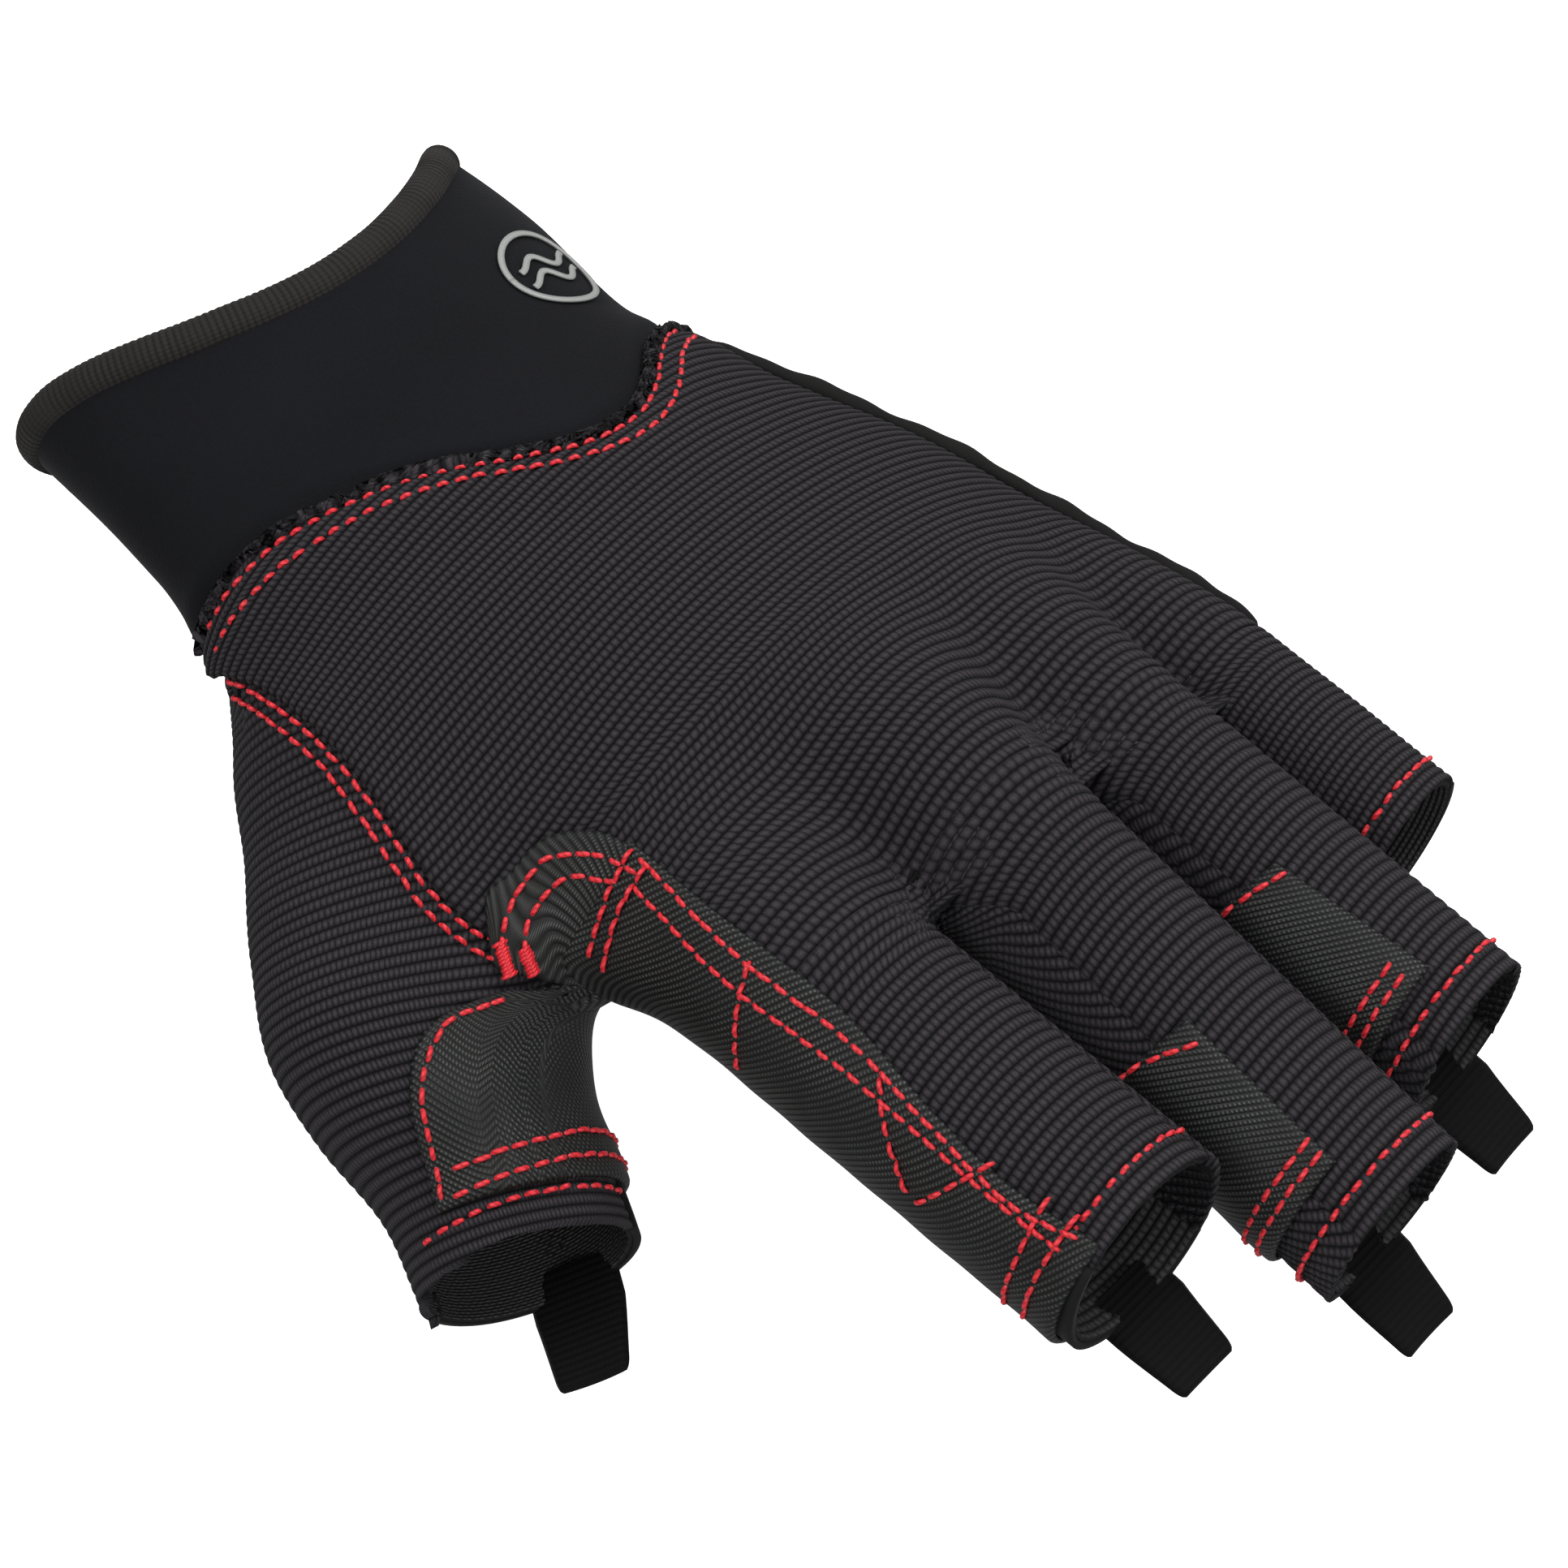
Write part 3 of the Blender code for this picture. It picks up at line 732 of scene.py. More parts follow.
def low_noise(points, scale, seed):
    """Smooth waves over space, between about -1 and 1, for soft dents."""
    rng = np.random.default_rng(seed)
    total = 0
    for _ in range(5):
        direction = rng.normal(size=3)
        direction *= rng.uniform(0.6, 1.4) / (scale * np.linalg.norm(direction))
        total = total + np.sin(points @ direction * 2 * math.pi + rng.uniform(0, 6.28))
    return total / 3


LAP = 0.0010                 # the knit stands this much over the neoprene it is sewn to
COLUMN = 0.0007              # mesh spacing along the ribs
SLIVER = 0.00014             # rows nearer than this to the cuff's seam move onto it


def even_angles(y, low, high, share):
    """Angles that cut each row of the hand into equal lengths."""
    a = low + (high - low) * share
    along = arc_lengths(hand_surface.points(y, a), 1)
    return np.stack([np.interp(s * row[-1], row, angles) for s, row, angles in zip(share, along, a)])


def make_back_panel():
    phases = np.arange(0, math.ceil(RIB_COUNT[-1] * RIB_STEPS)) / RIB_STEPS
    ys = np.interp(phases, RIB_COUNT, RIB_Y)[::-1]
    phases = phases[::-1]
    share = np.linspace(0, 1, 126)
    y, s = np.meshgrid(ys, share, indexing="ij")
    a = even_angles(y, ULNAR_ANGLE, back_edge(y), s)
    clipped = np.where(cuff_seam(a) - y < SLIVER, cuff_seam(a), y)
    base = hand_surface.points(clipped, a)
    n = onto_glove(base, 1)[1]
    phase = np.interp(clipped, RIB_Y, RIB_COUNT)
    left, right = side_distances(base)
    inset = cuff_seam(a) - clipped
    ribs = rib_shape(phase) * edge_round(left, 0.002) * smoothstep(inset, 0.0003, 0.0018)
    relief = ribs + LAP * (1 - smoothstep(inset, 0.004, 0.014))
    relief += 0.0003 * (1 - smoothstep(right, 0.002, 0.008)) + 0.00015 * low_noise(base, 0.03, 3)
    relief -= 0.0005 * (1 - edge_round(right, 0.0008)) * (y > -0.056)
    relief -= 0.0005 * (1 - smoothstep(left, 0.0, 0.0025))
    relief -= 0.0009 * (1 - smoothstep(inset, -0.0010, 0.0030))
    uv = np.stack([loops_across(base), phase], -1)
    piece = sheet_mesh("back_panel_cloth", base + n * relief[..., None], uv, "knit", KNIT)
    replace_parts(ride(piece, "hand"), "back_panel")


def make_palm_panel():
    y, s = np.meshgrid(np.linspace(0.006, FRONT, 96), np.linspace(0, 1, 130), indexing="ij")
    low, high = palm_edge(y) - 0.02, ULNAR_ANGLE + 2 * math.pi
    a = low + (high - low) * s
    clipped = np.minimum(y, cuff_seam(a))
    base = hand_surface.points(clipped, a)
    n = fill_normals(base)
    left, right = side_distances(base)
    inset = cuff_seam(a) - clipped
    relief = LAP * (1 - smoothstep(inset, 0.004, 0.014)) + 0.0003 * low_noise(base, 0.022, 5)
    relief += 0.0002 - 0.0005 * (1 - smoothstep(inset, -0.0006, 0.0016))
    uv = np.stack([arc_lengths(base, 1), clipped], -1)
    piece = sheet_mesh("palm_panel_cloth", base + n * relief[..., None], uv, "palm", SUEDE)
    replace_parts(ride(piece, "hand"), "palm_panel")
    make_edge_roll()


def make_edge_roll():
    """The palm's edge rolled over along the little-finger side."""
    ys = np.linspace(-0.010, FRONT + 0.001, 110)
    a = np.full_like(ys, ULNAR_ANGLE)
    centre = hand_surface.points(ys, a)
    n = normals_of(hand_surface, ys, a)
    radius = 0.0013 * edge_round(np.minimum(ys[0] - ys, ys - ys[-1]), 0.006)
    radius *= (1 + 0.16 * np.sin(ys / 0.0145 * 2 * math.pi)
               + 0.08 * np.sin(ys / 0.006 * 2 * math.pi + 1))
    make_tube("palm_edge_roll", centre + n * 0.0003, n, radius, radius, "palm", "hand", (), 14)


def make_tube(name, centre, normal, radius_n, radius_b, material, part, replaced, sides, closed=False,
              pattern=None):
    """A closed tube round a line of points; normal is one of its two radius directions."""
    if closed:
        tangent = np.roll(centre, -1, 0) - np.roll(centre, 1, 0)
    else:
        tangent = np.gradient(centre, axis=0)
    tangent /= np.linalg.norm(tangent, axis=-1, keepdims=True)
    side = np.cross(tangent, normal)
    side /= np.linalg.norm(side, axis=-1, keepdims=True)
    turn = np.linspace(0, 2 * math.pi, sides, endpoint=False)
    along = arc_lengths(centre, 0)
    rn = np.broadcast_to(radius_n, len(centre))[:, None]
    rb = np.broadcast_to(radius_b, len(centre))[:, None]
    swell = pattern(along[:, None], turn[None, :]) if pattern else 0.0
    points = (centre[:, None] + normal[:, None] * ((rn + swell) * np.sin(turn))[..., None]
              + side[:, None] * ((rb + swell) * np.cos(turn))[..., None])
    u = np.broadcast_to(along[:, None], points.shape[:2])
    v = np.broadcast_to(turn[None, :] * float(np.mean(rn)), points.shape[:2])
    uv = np.stack([u, v], -1)
    if closed:
        points = np.concatenate([points, points[:1]])
        uv = np.concatenate([uv, uv[:1] + [along[-1] + 0.001, 0]])
    # rows run round the tube, so that the sheet closes on itself
    piece = sheet_mesh(name, points[:, ::-1], uv[:, ::-1], material, closed=True)
    ride(piece, part)
    if replaced:
        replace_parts(piece, *replaced)
    return piece


def finger_grid(name, low, high, near, far, step_along, step_around):
    """Share and angle grids of a finger panel; low and high are angles or functions of share."""
    surface = finger_surfaces[name]
    rows = max(4, round(surface.whole * (far - near) / step_along))
    share = np.linspace(near, far, rows + 1)
    lows = np.broadcast_to(low(share) if callable(low) else low, share.shape)
    highs = np.broadcast_to(high(share) if callable(high) else high, share.shape)
    width = np.radians(np.max(highs - lows)) * STALL_RADIUS
    s = np.linspace(0, 1, max(4, round(width / step_around)) + 1)
    v = np.broadcast_to(share[:, None], (len(share), len(s)))
    a = np.radians(lows[:, None] + (highs - lows)[:, None] * s)
    return surface, v, a


def finger_ribs(name):
    return round(finger_surfaces[name].whole / RIB_PITCH_FINGER)


def web_angle(at_web, beyond):
    """A panel edge that runs down into the web between two fingers."""
    return lambda share: at_web + (beyond - at_web) * smoothstep(share, 0.0, 0.20)


# Degrees round each stall at which its panels start and end
PALM_SIDE = 220
BACKS = {"index": (web_angle(0, 38), 140), "middle": (web_angle(0, 40), web_angle(180, 140)),
         "ring": (web_angle(0, 40), web_angle(180, 140)), "little": (22, web_angle(180, 140))}
GUSSETS = {"index_ulnar": (-38, BACKS["index"][0]), "middle_radial": (BACKS["middle"][1], PALM_SIDE),
           "middle_ulnar": (-40, BACKS["middle"][0]), "ring_radial": (BACKS["ring"][1], PALM_SIDE),
           "ring_ulnar": (-40, BACKS["ring"][0]), "little_radial": (BACKS["little"][1], PALM_SIDE)}
PALMS = {"index": (140, 322), "middle": (PALM_SIDE, 320), "ring": (PALM_SIDE, 320),
         "little": (PALM_SIDE, 382)}


def make_finger(name):
    ribs = finger_ribs(name)
    low, high = BACKS[name]
    step = finger_surfaces[name].whole / (ribs * RIB_STEPS)
    surface, v, a = finger_grid(name, low, high, 0.0, 1.0, step, COLUMN)
    base = surface.points(v, a)
    n = grid_normals(base)
    phase = -v * ribs
    left, right = side_distances(base)
    seam = np.minimum(left, right)
    relief = rib_shape(phase) - 0.0004 * (1 - smoothstep(seam, 0.0, 0.0016)) * smoothstep(v, 0.0, 0.15)
    fade = smoothstep(v, 0.0, 0.05)
    relief += 0.00012 * low_noise(base, 0.02, 7) * fade + 0.00015 * low_noise(base, 0.03, 3) * (1 - fade)
    uv = np.stack([loops_across(base), phase + 1000], -1)
    piece = sheet_mesh(name + "_back_cloth", base + n * relief[..., None], uv, "knit", KNIT)
    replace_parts(ride(piece, name), name + "_back", name + "_knuckle_knit")
    low, high = PALMS[name]
    surface, v, a = finger_grid(name, low, high, 0.0, 1.0, 0.0011, 0.0011)
    base = surface.points(v, a)
    relief = 0.0002 + 0.0002 * low_noise(base, 0.016, 9) * smoothstep(v, 0.0, 0.1)
    uv = np.stack([arc_lengths(base, 1), arc_lengths(base, 0)], -1)
    piece = sheet_mesh(name + "_palm_cloth", base + grid_normals(base) * relief[..., None], uv, "palm", SUEDE)
    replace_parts(ride(piece, name), name + "_palm")
    make_lining(name, surface)


RIB_TURN = math.radians(52)


def make_gusset(key):
    name, side = key.split("_")
    low, high = GUSSETS[key]
    surface, v, a = finger_grid(name, low, high, 0.0, 1.0, 0.0004, 0.0004)
    base = surface.points(v, a)
    across, along = arc_lengths(base, 1), arc_lengths(base, 0)
    turn = RIB_TURN if side == "radial" else -RIB_TURN
    phase = (along * math.cos(turn) + across * math.sin(turn)) / RIB_PITCH_HAND
    loops = (across * math.cos(turn) - along * math.sin(turn)) / LOOP_PITCH
    left, right = side_distances(base)
    relief = rib_shape(phase) - 0.0004 * (1 - smoothstep(np.minimum(left, right), 0.0, 0.0016))
    relief -= 0.0005 * np.sin(math.pi * np.clip(a - a[:, :1], 0, 9) / (a[:, -1:] - a[:, :1]))
    uv = np.stack([loops, phase + 1000], -1)
    piece = sheet_mesh(f"{key}_gusset_cloth", base + grid_normals(base) * relief[..., None], uv, "knit", KNIT)
    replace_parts(ride(piece, name), key + "_gusset")


LINING_DEPTH, LINING_INSET, LINING = 0.016, 0.0013, 0.0005


WEB_ENDS, WEB_WIDTH, WEB_DEPTH = (FRONT + 0.003, FRONT - 0.008), 0.011, 0.0007


def make_webs():
    """Knit at the bottom of the gaps between the fingers, under the panels that meet there."""
    height, arch = HAND_SECTIONS[-1][4:]
    for name in ORDER[:-1]:
        a, b = finger_surfaces[name].planes[-1][1]
        s, t = np.meshgrid(np.linspace(0, 1, 30), np.linspace(0, 1, 30), indexing="ij")
        y = between(*WEB_ENDS, s)
        x = a + b * y + (t - 0.5) * WEB_WIDTH
        base, n = onto_glove(np.stack([x, y, height - arch * (x - ARCH_CENTRE) ** 2], -1), 12)
        uv = np.stack([arc_lengths(base, 1) / LOOP_PITCH, arc_lengths(base, 0) / RIB_PITCH_HAND + 1000], -1)
        ride(sheet_mesh(name + "_web_cloth", base - n * WEB_DEPTH, uv, "knit", 0.0006), name)


def make_lining(name, surface):
    """The brushed inside of a stall, seen through its opening."""
    near = 1 - LINING_DEPTH / surface.whole
    v, a = np.meshgrid(np.linspace(1.0, near, 40), np.linspace(0, 2 * math.pi, 121)[:-1], indexing="ij")
    base = surface.points(v - 0.004 * (v == 1.0), a)
    inside_sheet(name, base, v, a)


def inside_sheet(name, base, v, a):
    n = grid_normals(np.concatenate([base, base[:, :1]], 1))[:, :-1]
    points = base + n * (LINING_INSET + 0.00012 * np.sin(a * 40 + 3 * np.sin(v * 300)))[..., None]
    uv = np.stack([a * STALL_RADIUS / LOOP_PITCH, v * 40], -1)
    piece = sheet_mesh(name + "_lining_cloth", points, uv, "lining", LINING, closed=True)
    ride(piece, name)


def thumb_panel(name, low, high, phase_pitch, step, column, relief_of, material, thickness):
    rows = np.arange(0, math.ceil((THUMB_LENGTH + 0.018) / step)) * step - THUMB_LENGTH - END_SLANT
    s = np.linspace(0, 1, round(math.radians(high - low) * THUMB_RADIUS / column) + 1)
    y, t = np.meshgrid(rows[::-1], s, indexing="ij")
    a = np.radians(high) - math.radians(high - low) * t
    near = thumb_near(a) + 0.0010
    clipped = np.clip(y, thumb_rim(a), near)
    base = thumb_surface.points(clipped, a)
    n = fill_normals(base)
    left, right = side_distances(base)
    sunk = 0.0007 * (1 - smoothstep(near - clipped, 0.001, 0.0055))     # under the back panel's edge
    points = base + n * (relief_of(clipped, base, left, right) - sunk)[..., None]
    u = loops_across(base) if phase_pitch else arc_lengths(base, 1)
    v = (clipped / phase_pitch + 1000) if phase_pitch else clipped
    piece = sheet_mesh(name + "_cloth", points, np.stack([u, v], -1), material, thickness)
    return ride(piece, "thumb")


THUMB_RIB = 0.00138


def make_thumb():
    def knit_relief(y, base, left, right):
        seam = 0.0004 * (1 - smoothstep(np.minimum(left, right), 0.0, 0.0016))
        return rib_shape(y / THUMB_RIB) - seam + 0.0002 * low_noise(base, 0.03, 3)

    def palm_relief(_y, base, _left, _right):
        return 0.0001 + 0.0003 * low_noise(base, 0.02, 11)

    back = thumb_panel("thumb_back", -60, 130, THUMB_RIB, THUMB_RIB / RIB_STEPS, 0.0008, knit_relief,
                       "knit", KNIT)
    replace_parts(back, "thumb_back", "thumb_base_knit")
    palm = thumb_panel("thumb_palm", 130, 300, None, 0.0011, 0.0012, palm_relief, "palm", SUEDE)
    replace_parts(palm, "thumb_palm")
    v, a = np.meshgrid(np.linspace(0, 1, 40), np.linspace(2 * math.pi, 0, 121)[:-1], indexing="ij")
    base = thumb_surface.points(thumb_rim(a) + 0.0002 + LINING_DEPTH * v, a)
    inside_sheet("thumb", base, v, a)


def patch(name, part, surface, spot, lengths, replaced=(), layer=0.0003, steps=0.0008):
    """A twill patch; spot maps (along, across) in 0..1 to the surface's parameters, or to places in the
    hand frame, which are then moved onto the glove, where surface is None."""
    def lines(length):
        edges = np.array([0, 0.00008, 0.00022, 0.00045, 0.0008])
        inner = np.linspace(0.0008, length - 0.0008, max(3, round(length / steps)))[1:-1]
        return np.concatenate([edges, inner, length - edges[::-1]]) / length

    s, t = np.meshgrid(lines(lengths[0]), lines(lengths[1]), indexing="ij")
    if surface is None:
        base, _ = onto_glove(spot(s, t))
    else:
        v, a = spot(s, 1 - t if surface.sign < 0 else t)
        base = surface.points(v, a)
    n = grid_normals(base)
    across, along = arc_lengths(base, 1), arc_lengths(base, 0)
    edge = np.minimum(np.minimum(*side_distances(base)), np.minimum(*end_distances(base)))
    relief = layer + TWILL * edge_round(edge, 0.0008) + 0.00012 * low_noise(base, 0.012, 13)
    uv = np.stack([across, along], -1)
    piece = sheet_mesh(name, base + n * relief[..., None], uv, "twill", TWILL)
    ride(piece, part)
    if replaced:
        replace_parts(piece, *replaced)
    return piece


def between(low, high, share):
    return low + (high - low) * share


# Edges of the crotch patch and of the index wrap, in the hand frame
CROTCH_ABOVE = np.array([(-45, -51, -4), (-41, -46, 0), (-37, -46, 1), (-32, -47, 4), (-28, -52, 6),
                         (-27, -60, 7)]) * MM
CROTCH_BELOW = np.array([(-45, -53, -5), (-43, -54, -6), (-41, -56, -7), (-39, -58, -8), (-38, -60, -8),
                         (-37, -62, -9)]) * MM
WRAP_BACK = np.array([(-27, -56, 7), (-28, -70, 8), (-28, -89, 8), (-30, -105, 6), (-30, -117, 4),
                      (-29, -129, 4)]) * MM
WRAP_PALM = np.array([(-38, -58, -7), (-32, -71, -12), (-29, -89, -13), (-29, -105, -14), (-29, -117, -15),
                      (-29, -129, -15)]) * MM
WRAP_BOW = 0.007             # the wrap's rows start this far outside the straight line between its edges


def strip_between(above, below):
    """Points in a strip between two lines of knots."""
    keys = np.linspace(0, 1, len(above))
    return lambda s, t: between(smooth_interp(1 - t, keys, above), smooth_interp(1 - t, keys, below),
                                s[..., None])


PALM_PATCH_ENDS, PALM_PATCH_MIDDLE, PALM_PATCH_HALF = (-0.018, FRONT + 0.006), 272, 50


def hand_patches():
    """Crotch patch between thumb and index finger, index wrap and palm patch."""
    def wrap(s, t):
        keys = np.linspace(0, 1, len(WRAP_BACK))
        line = between(smooth_interp(s, keys, WRAP_BACK), smooth_interp(s, keys, WRAP_PALM), t[..., None])
        return line - np.stack([WRAP_BOW * np.sin(math.pi * t), 0 * t, 0 * t], -1)

    patch("crotch_patch_cloth", "hand", None, strip_between(CROTCH_ABOVE, CROTCH_BELOW), (0.012, 0.030),
          ("crotch_patch",))
    patch("index_wrap_cloth", "index", None, wrap, (0.073, 0.026), ("index_wrap",), layer=0.0005)

    def palm(s, t):
        bow = 1 - 0.10 * (1 - np.sin(math.pi * np.clip(s, 0.02, 0.98))) ** 2
        half = PALM_PATCH_HALF * bow
        return between(*PALM_PATCH_ENDS, s), np.radians(PALM_PATCH_MIDDLE + (t * 2 - 1) * half)

    patch("palm_patch_cloth", "hand", hand_surface, palm, (0.058, 0.075), ("palm_patch",), steps=0.0014)


def finger_patches():
    def side(name, starts, ends):
        surface = finger_surfaces[name]

        def spot(s, t):
            a = np.radians(between(between(starts[2], ends[2], s), 226, t))
            y = between(between(starts[0], starts[1], t), between(ends[0], ends[1], t), s)
            return share_of(name, y), a

        patch(name + "_patch_cloth", name, surface, spot, (0.024, 0.022), (name + "_patch",))

    side("middle", (-0.026, -0.021, 117), (-0.049, -0.049, 117))
    side("ring", (-0.019, -0.013, 114), (-0.041, -0.041, 103))


THUMB_PATCH_EDGE = np.array([    # y in millimetres, degrees
    (-57, 92), (-59, 68), (-62, 54), (-68, 40), (-75, 26), (-80, 20)])


def thumb_patch():
    keys = np.linspace(0, 1, len(THUMB_PATCH_EDGE))

    def spot(s, t):
        y, a = np.moveaxis(smooth_interp(s, keys, THUMB_PATCH_EDGE), -1, 0)
        return between(y * MM, between(-0.0600, -0.0792, s), t), np.radians(between(a, 190, t))

    def inner(s, t):
        return between(-0.0572, -0.0640, s), np.radians(between(100, 200, t))

    patch("thumb_inner_twill", "thumb", thumb_surface, inner, (0.007, 0.028), layer=-0.0002)
    patch("thumb_patch_cloth", "thumb", thumb_surface, spot, (0.024, 0.040), ("thumb_patch",))


# ---------------------------------------------------------------- cuff
def make_cuff():
    y_share = np.concatenate([np.linspace(0, 0.06, 6), np.linspace(0.08, 1, 56)])
    s, a = np.meshgrid(y_share, np.linspace(0, 2 * math.pi, 181)[:-1], indexing="ij")
    y = between(hem(a) - 0.0012, cuff_seam(a) - 0.006, s)
    base = hand_surface.points(np.minimum(y, 0.042), a)
    n = grid_normals(np.concatenate([base[:, -1:], base, base[:, :1]], 1))[:, 1:-1]
    over = y - cuff_seam(a)
    relief = 0.00025 * low_noise(base, 0.03, 21) - 0.0008 * (1 - smoothstep(over, -0.002, 0.004))
    relief += 0.0004 * np.exp(-((over - 0.0035) / 0.0022) ** 2)
    uv = np.stack([a * CUFF_RADIUS, y], -1)
    piece = sheet_mesh("cuff_cloth", base + n * relief[..., None], uv, "neoprene", NEOPRENE, closed=True)
    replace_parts(ride(piece, "cuff"), "cuff_neoprene", "wrist_neoprene")
    make_binding()
    make_emblem()


def make_binding():
    a = np.linspace(0, 2 * math.pi, 721)[:-1]
    y = hem(a)
    edge = hand_surface.points(y, a)
    n = normals_of(hand_surface, y, a)
    rng = np.random.default_rng(4)
    wave = sum(np.sin(a * k + rng.uniform(0, 6.3)) / k for k in (5, 9, 14, 23)) * 0.00035
    centre = edge - n * 0.0009 + np.stack([0 * a, wave, 0 * a], -1)

    def ribs(along, turn):
        return 0.00016 * np.abs(np.sin(along / 0.00095 * math.pi + 0.6 * np.sin(turn))) ** 0.8 - 0.00008

    make_tube("cuff_binding_cloth", centre, n, 0.00215, 0.0025, "binding", "cuff", ("cuff_binding",), 26,
              closed=True, pattern=ribs)


def ribbon(points, normals):
    """The two edges of a flat strip along a line of points on a surface."""
    side = np.cross(np.gradient(points, axis=0), normals)
    side /= np.linalg.norm(side, axis=-1, keepdims=True)
    reach, rise = side * EMBLEM_LINE / 2, normals * EMBLEM_LIFT
    return np.stack([points - reach + rise, points + reach + rise], 1)


EMBLEM_CENTRE = (0.0085, math.radians(42))
EMBLEM_RING, EMBLEM_LINE, EMBLEM_LIFT = 0.0072, 0.00085, 0.0004


def make_emblem():
    """A plain device: a thin ring with two waves through it."""
    y0, a0 = EMBLEM_CENTRE
    origin = hand_surface.points(np.array(y0), np.array(a0))
    around = hand_surface.points(np.array(y0), np.array(a0 + 0.02)) - origin
    scale = 0.02 / np.linalg.norm(around)

    def lines(x, z):
        y, a = y0 + z, a0 + x * scale
        return hand_surface.points(y, a), normals_of(hand_surface, y, a)

    turn = np.linspace(0, 2 * math.pi, 73)
    strips = [ribbon(*lines(EMBLEM_RING * np.cos(turn), EMBLEM_RING * 0.92 * np.sin(turn)))]
    for level in (-0.0014, 0.0014):
        x = np.linspace(-0.0052, 0.0052, 41)
        z = level + 0.0010 * np.sin(x / 0.0052 * math.pi * 1.5)
        strips.append(ribbon(*lines(x, z)))
    points, faces, uvs = [], [], []
    for strip in strips:
        start = sum(len(p) for p in points)
        points.append(strip.reshape(-1, 3))
        for i in range(len(strip) - 1):
            a = start + 2 * i
            faces.append([a, a + 1, a + 3, a + 2])
            uvs += [(0, 0)] * 4
    piece = make_mesh("cuff_emblem_print", np.concatenate(points), faces, uvs, "emblem")
    shell = piece.modifiers.new("thickness", "SOLIDIFY")
    shell.thickness, shell.offset = 0.00025, 0.0
    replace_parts(ride(piece, "cuff"), "cuff_emblem")


# ---------------------------------------------------------------- tabs
TAB_INSIDE = 0.0055           # how far a tab reaches in behind its rim


def make_tab(name):
    """A doubled webbing tab, sewn just inside a rim on the palm side."""
    if name == "thumb":
        place, length, below = thumb_limb.place, THUMB_LENGTH, THUMB_TAB_BELOW
        turn, droop = THUMB_TAB_TURN, THUMB_TAB_DROOP
    else:
        place, length, below = finger_limbs[name].place, FINGERS[name][3], FINGERS[name][5][1]
        turn, droop = 0.0, TAB_DROOP
    rim = Vector((0, -length - END_SLANT - TAB_OUT, -below + 0.5 * TAB))
    local = np.array(Matrix.Rotation(turn, 4, "Y") @ Matrix.Translation(rim) @ Matrix.Rotation(droop, 4, "X"))
    place = place @ local
    y, x = np.meshgrid(np.linspace(TAB_INSIDE, -TAB_LENGTH, 46), np.linspace(-1, 1, 17), indexing="ij")
    past = np.clip(-y / TAB_LENGTH, 0, 1)
    taper = 1 - (1 - TAB_TAPER) * past
    corner = edge_round(y + TAB_LENGTH, 0.0016) * 0.12 + 0.88
    half = 0.5 * TAB_WIDTH * taper * corner
    bow = 0.0005 * (x**2) * smoothstep(past, 0.1, 1.0)
    lean = np.where(y > 0, math.tan(droop) * y * 0.75, 0.0)
    thick = 0.5 * TAB * edge_round(np.minimum((1 - np.abs(x)) * half, y + TAB_LENGTH + 1e-6), 0.0007)
    top, bottom = (np.stack([x * half, y, sign * thick + bow - lean], -1) for sign in (1, -1))
    points = np.concatenate([top, bottom[:, ::-1]], 1)
    points = points @ place[:3, :3].T + place[:3, 3]
    uv = np.stack([np.concatenate([y, y], 1), np.concatenate([x * half, x[:, ::-1] * half], 1)], -1)
    piece = sheet_mesh(name + "_tab_webbing", points, uv, "webbing", closed=True)
    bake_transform(piece)
    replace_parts(piece, name + "_tab")


# ---------------------------------------------------------------- stitching
STITCH_PITCH, LONG_STITCH, SHORT_STITCH, THREAD = 0.0023, 0.00212, 0.00180, 0.00032
TACK_PITCH, TACK_WIDTH, TACK_THREAD = 0.00042, 0.0017, THREAD * 0.95
STITCHES = {}


def seam_line(surface, knots, per_knot=24):
    """Points, normals and lengths along a smooth curve through knots: (v, degrees) on a surface, or
    places in the hand frame where surface is None."""
    knots = np.array(knots, float)
    at = np.linspace(0, len(knots) - 1, per_knot * (len(knots) - 1) + 1)
    line = smooth_interp(at, np.arange(len(knots), dtype=float), knots)
    if surface is None:
        points, n = onto_glove(line)
    else:
        v, a = line[:, 0], np.radians(line[:, 1])
        points, n = surface.points(v, a), normals_of(surface, v, a)
    return points, n, np.concatenate([[0], np.cumsum(np.linalg.norm(np.diff(points, axis=0), axis=1))])


def at_length(line, where):
    points, n, s = line
    p = np.stack([np.interp(where, s, points[:, k]) for k in range(3)], -1)
    m = np.stack([np.interp(where, s, n[:, k]) for k in range(3)], -1)
    return p, m / np.linalg.norm(m, axis=-1, keepdims=True)


def add_stitches(part, centres, normals, sides, radius):
    """Threads as capsules: centres is (stitch, ring, 3)."""
    turn = np.linspace(0, 2 * math.pi, 7)[:-1]
    swell = radius * np.array([0.55, 0.9, 1, 1, 1, 0.9, 0.55])[None, :, None, None]
    ring = (normals[:, :, None] * np.sin(turn)[:, None] * 0.9 + sides[:, :, None] * np.cos(turn)[:, None])
    STITCHES.setdefault(part, []).append(centres[:, :, None] + swell * ring)


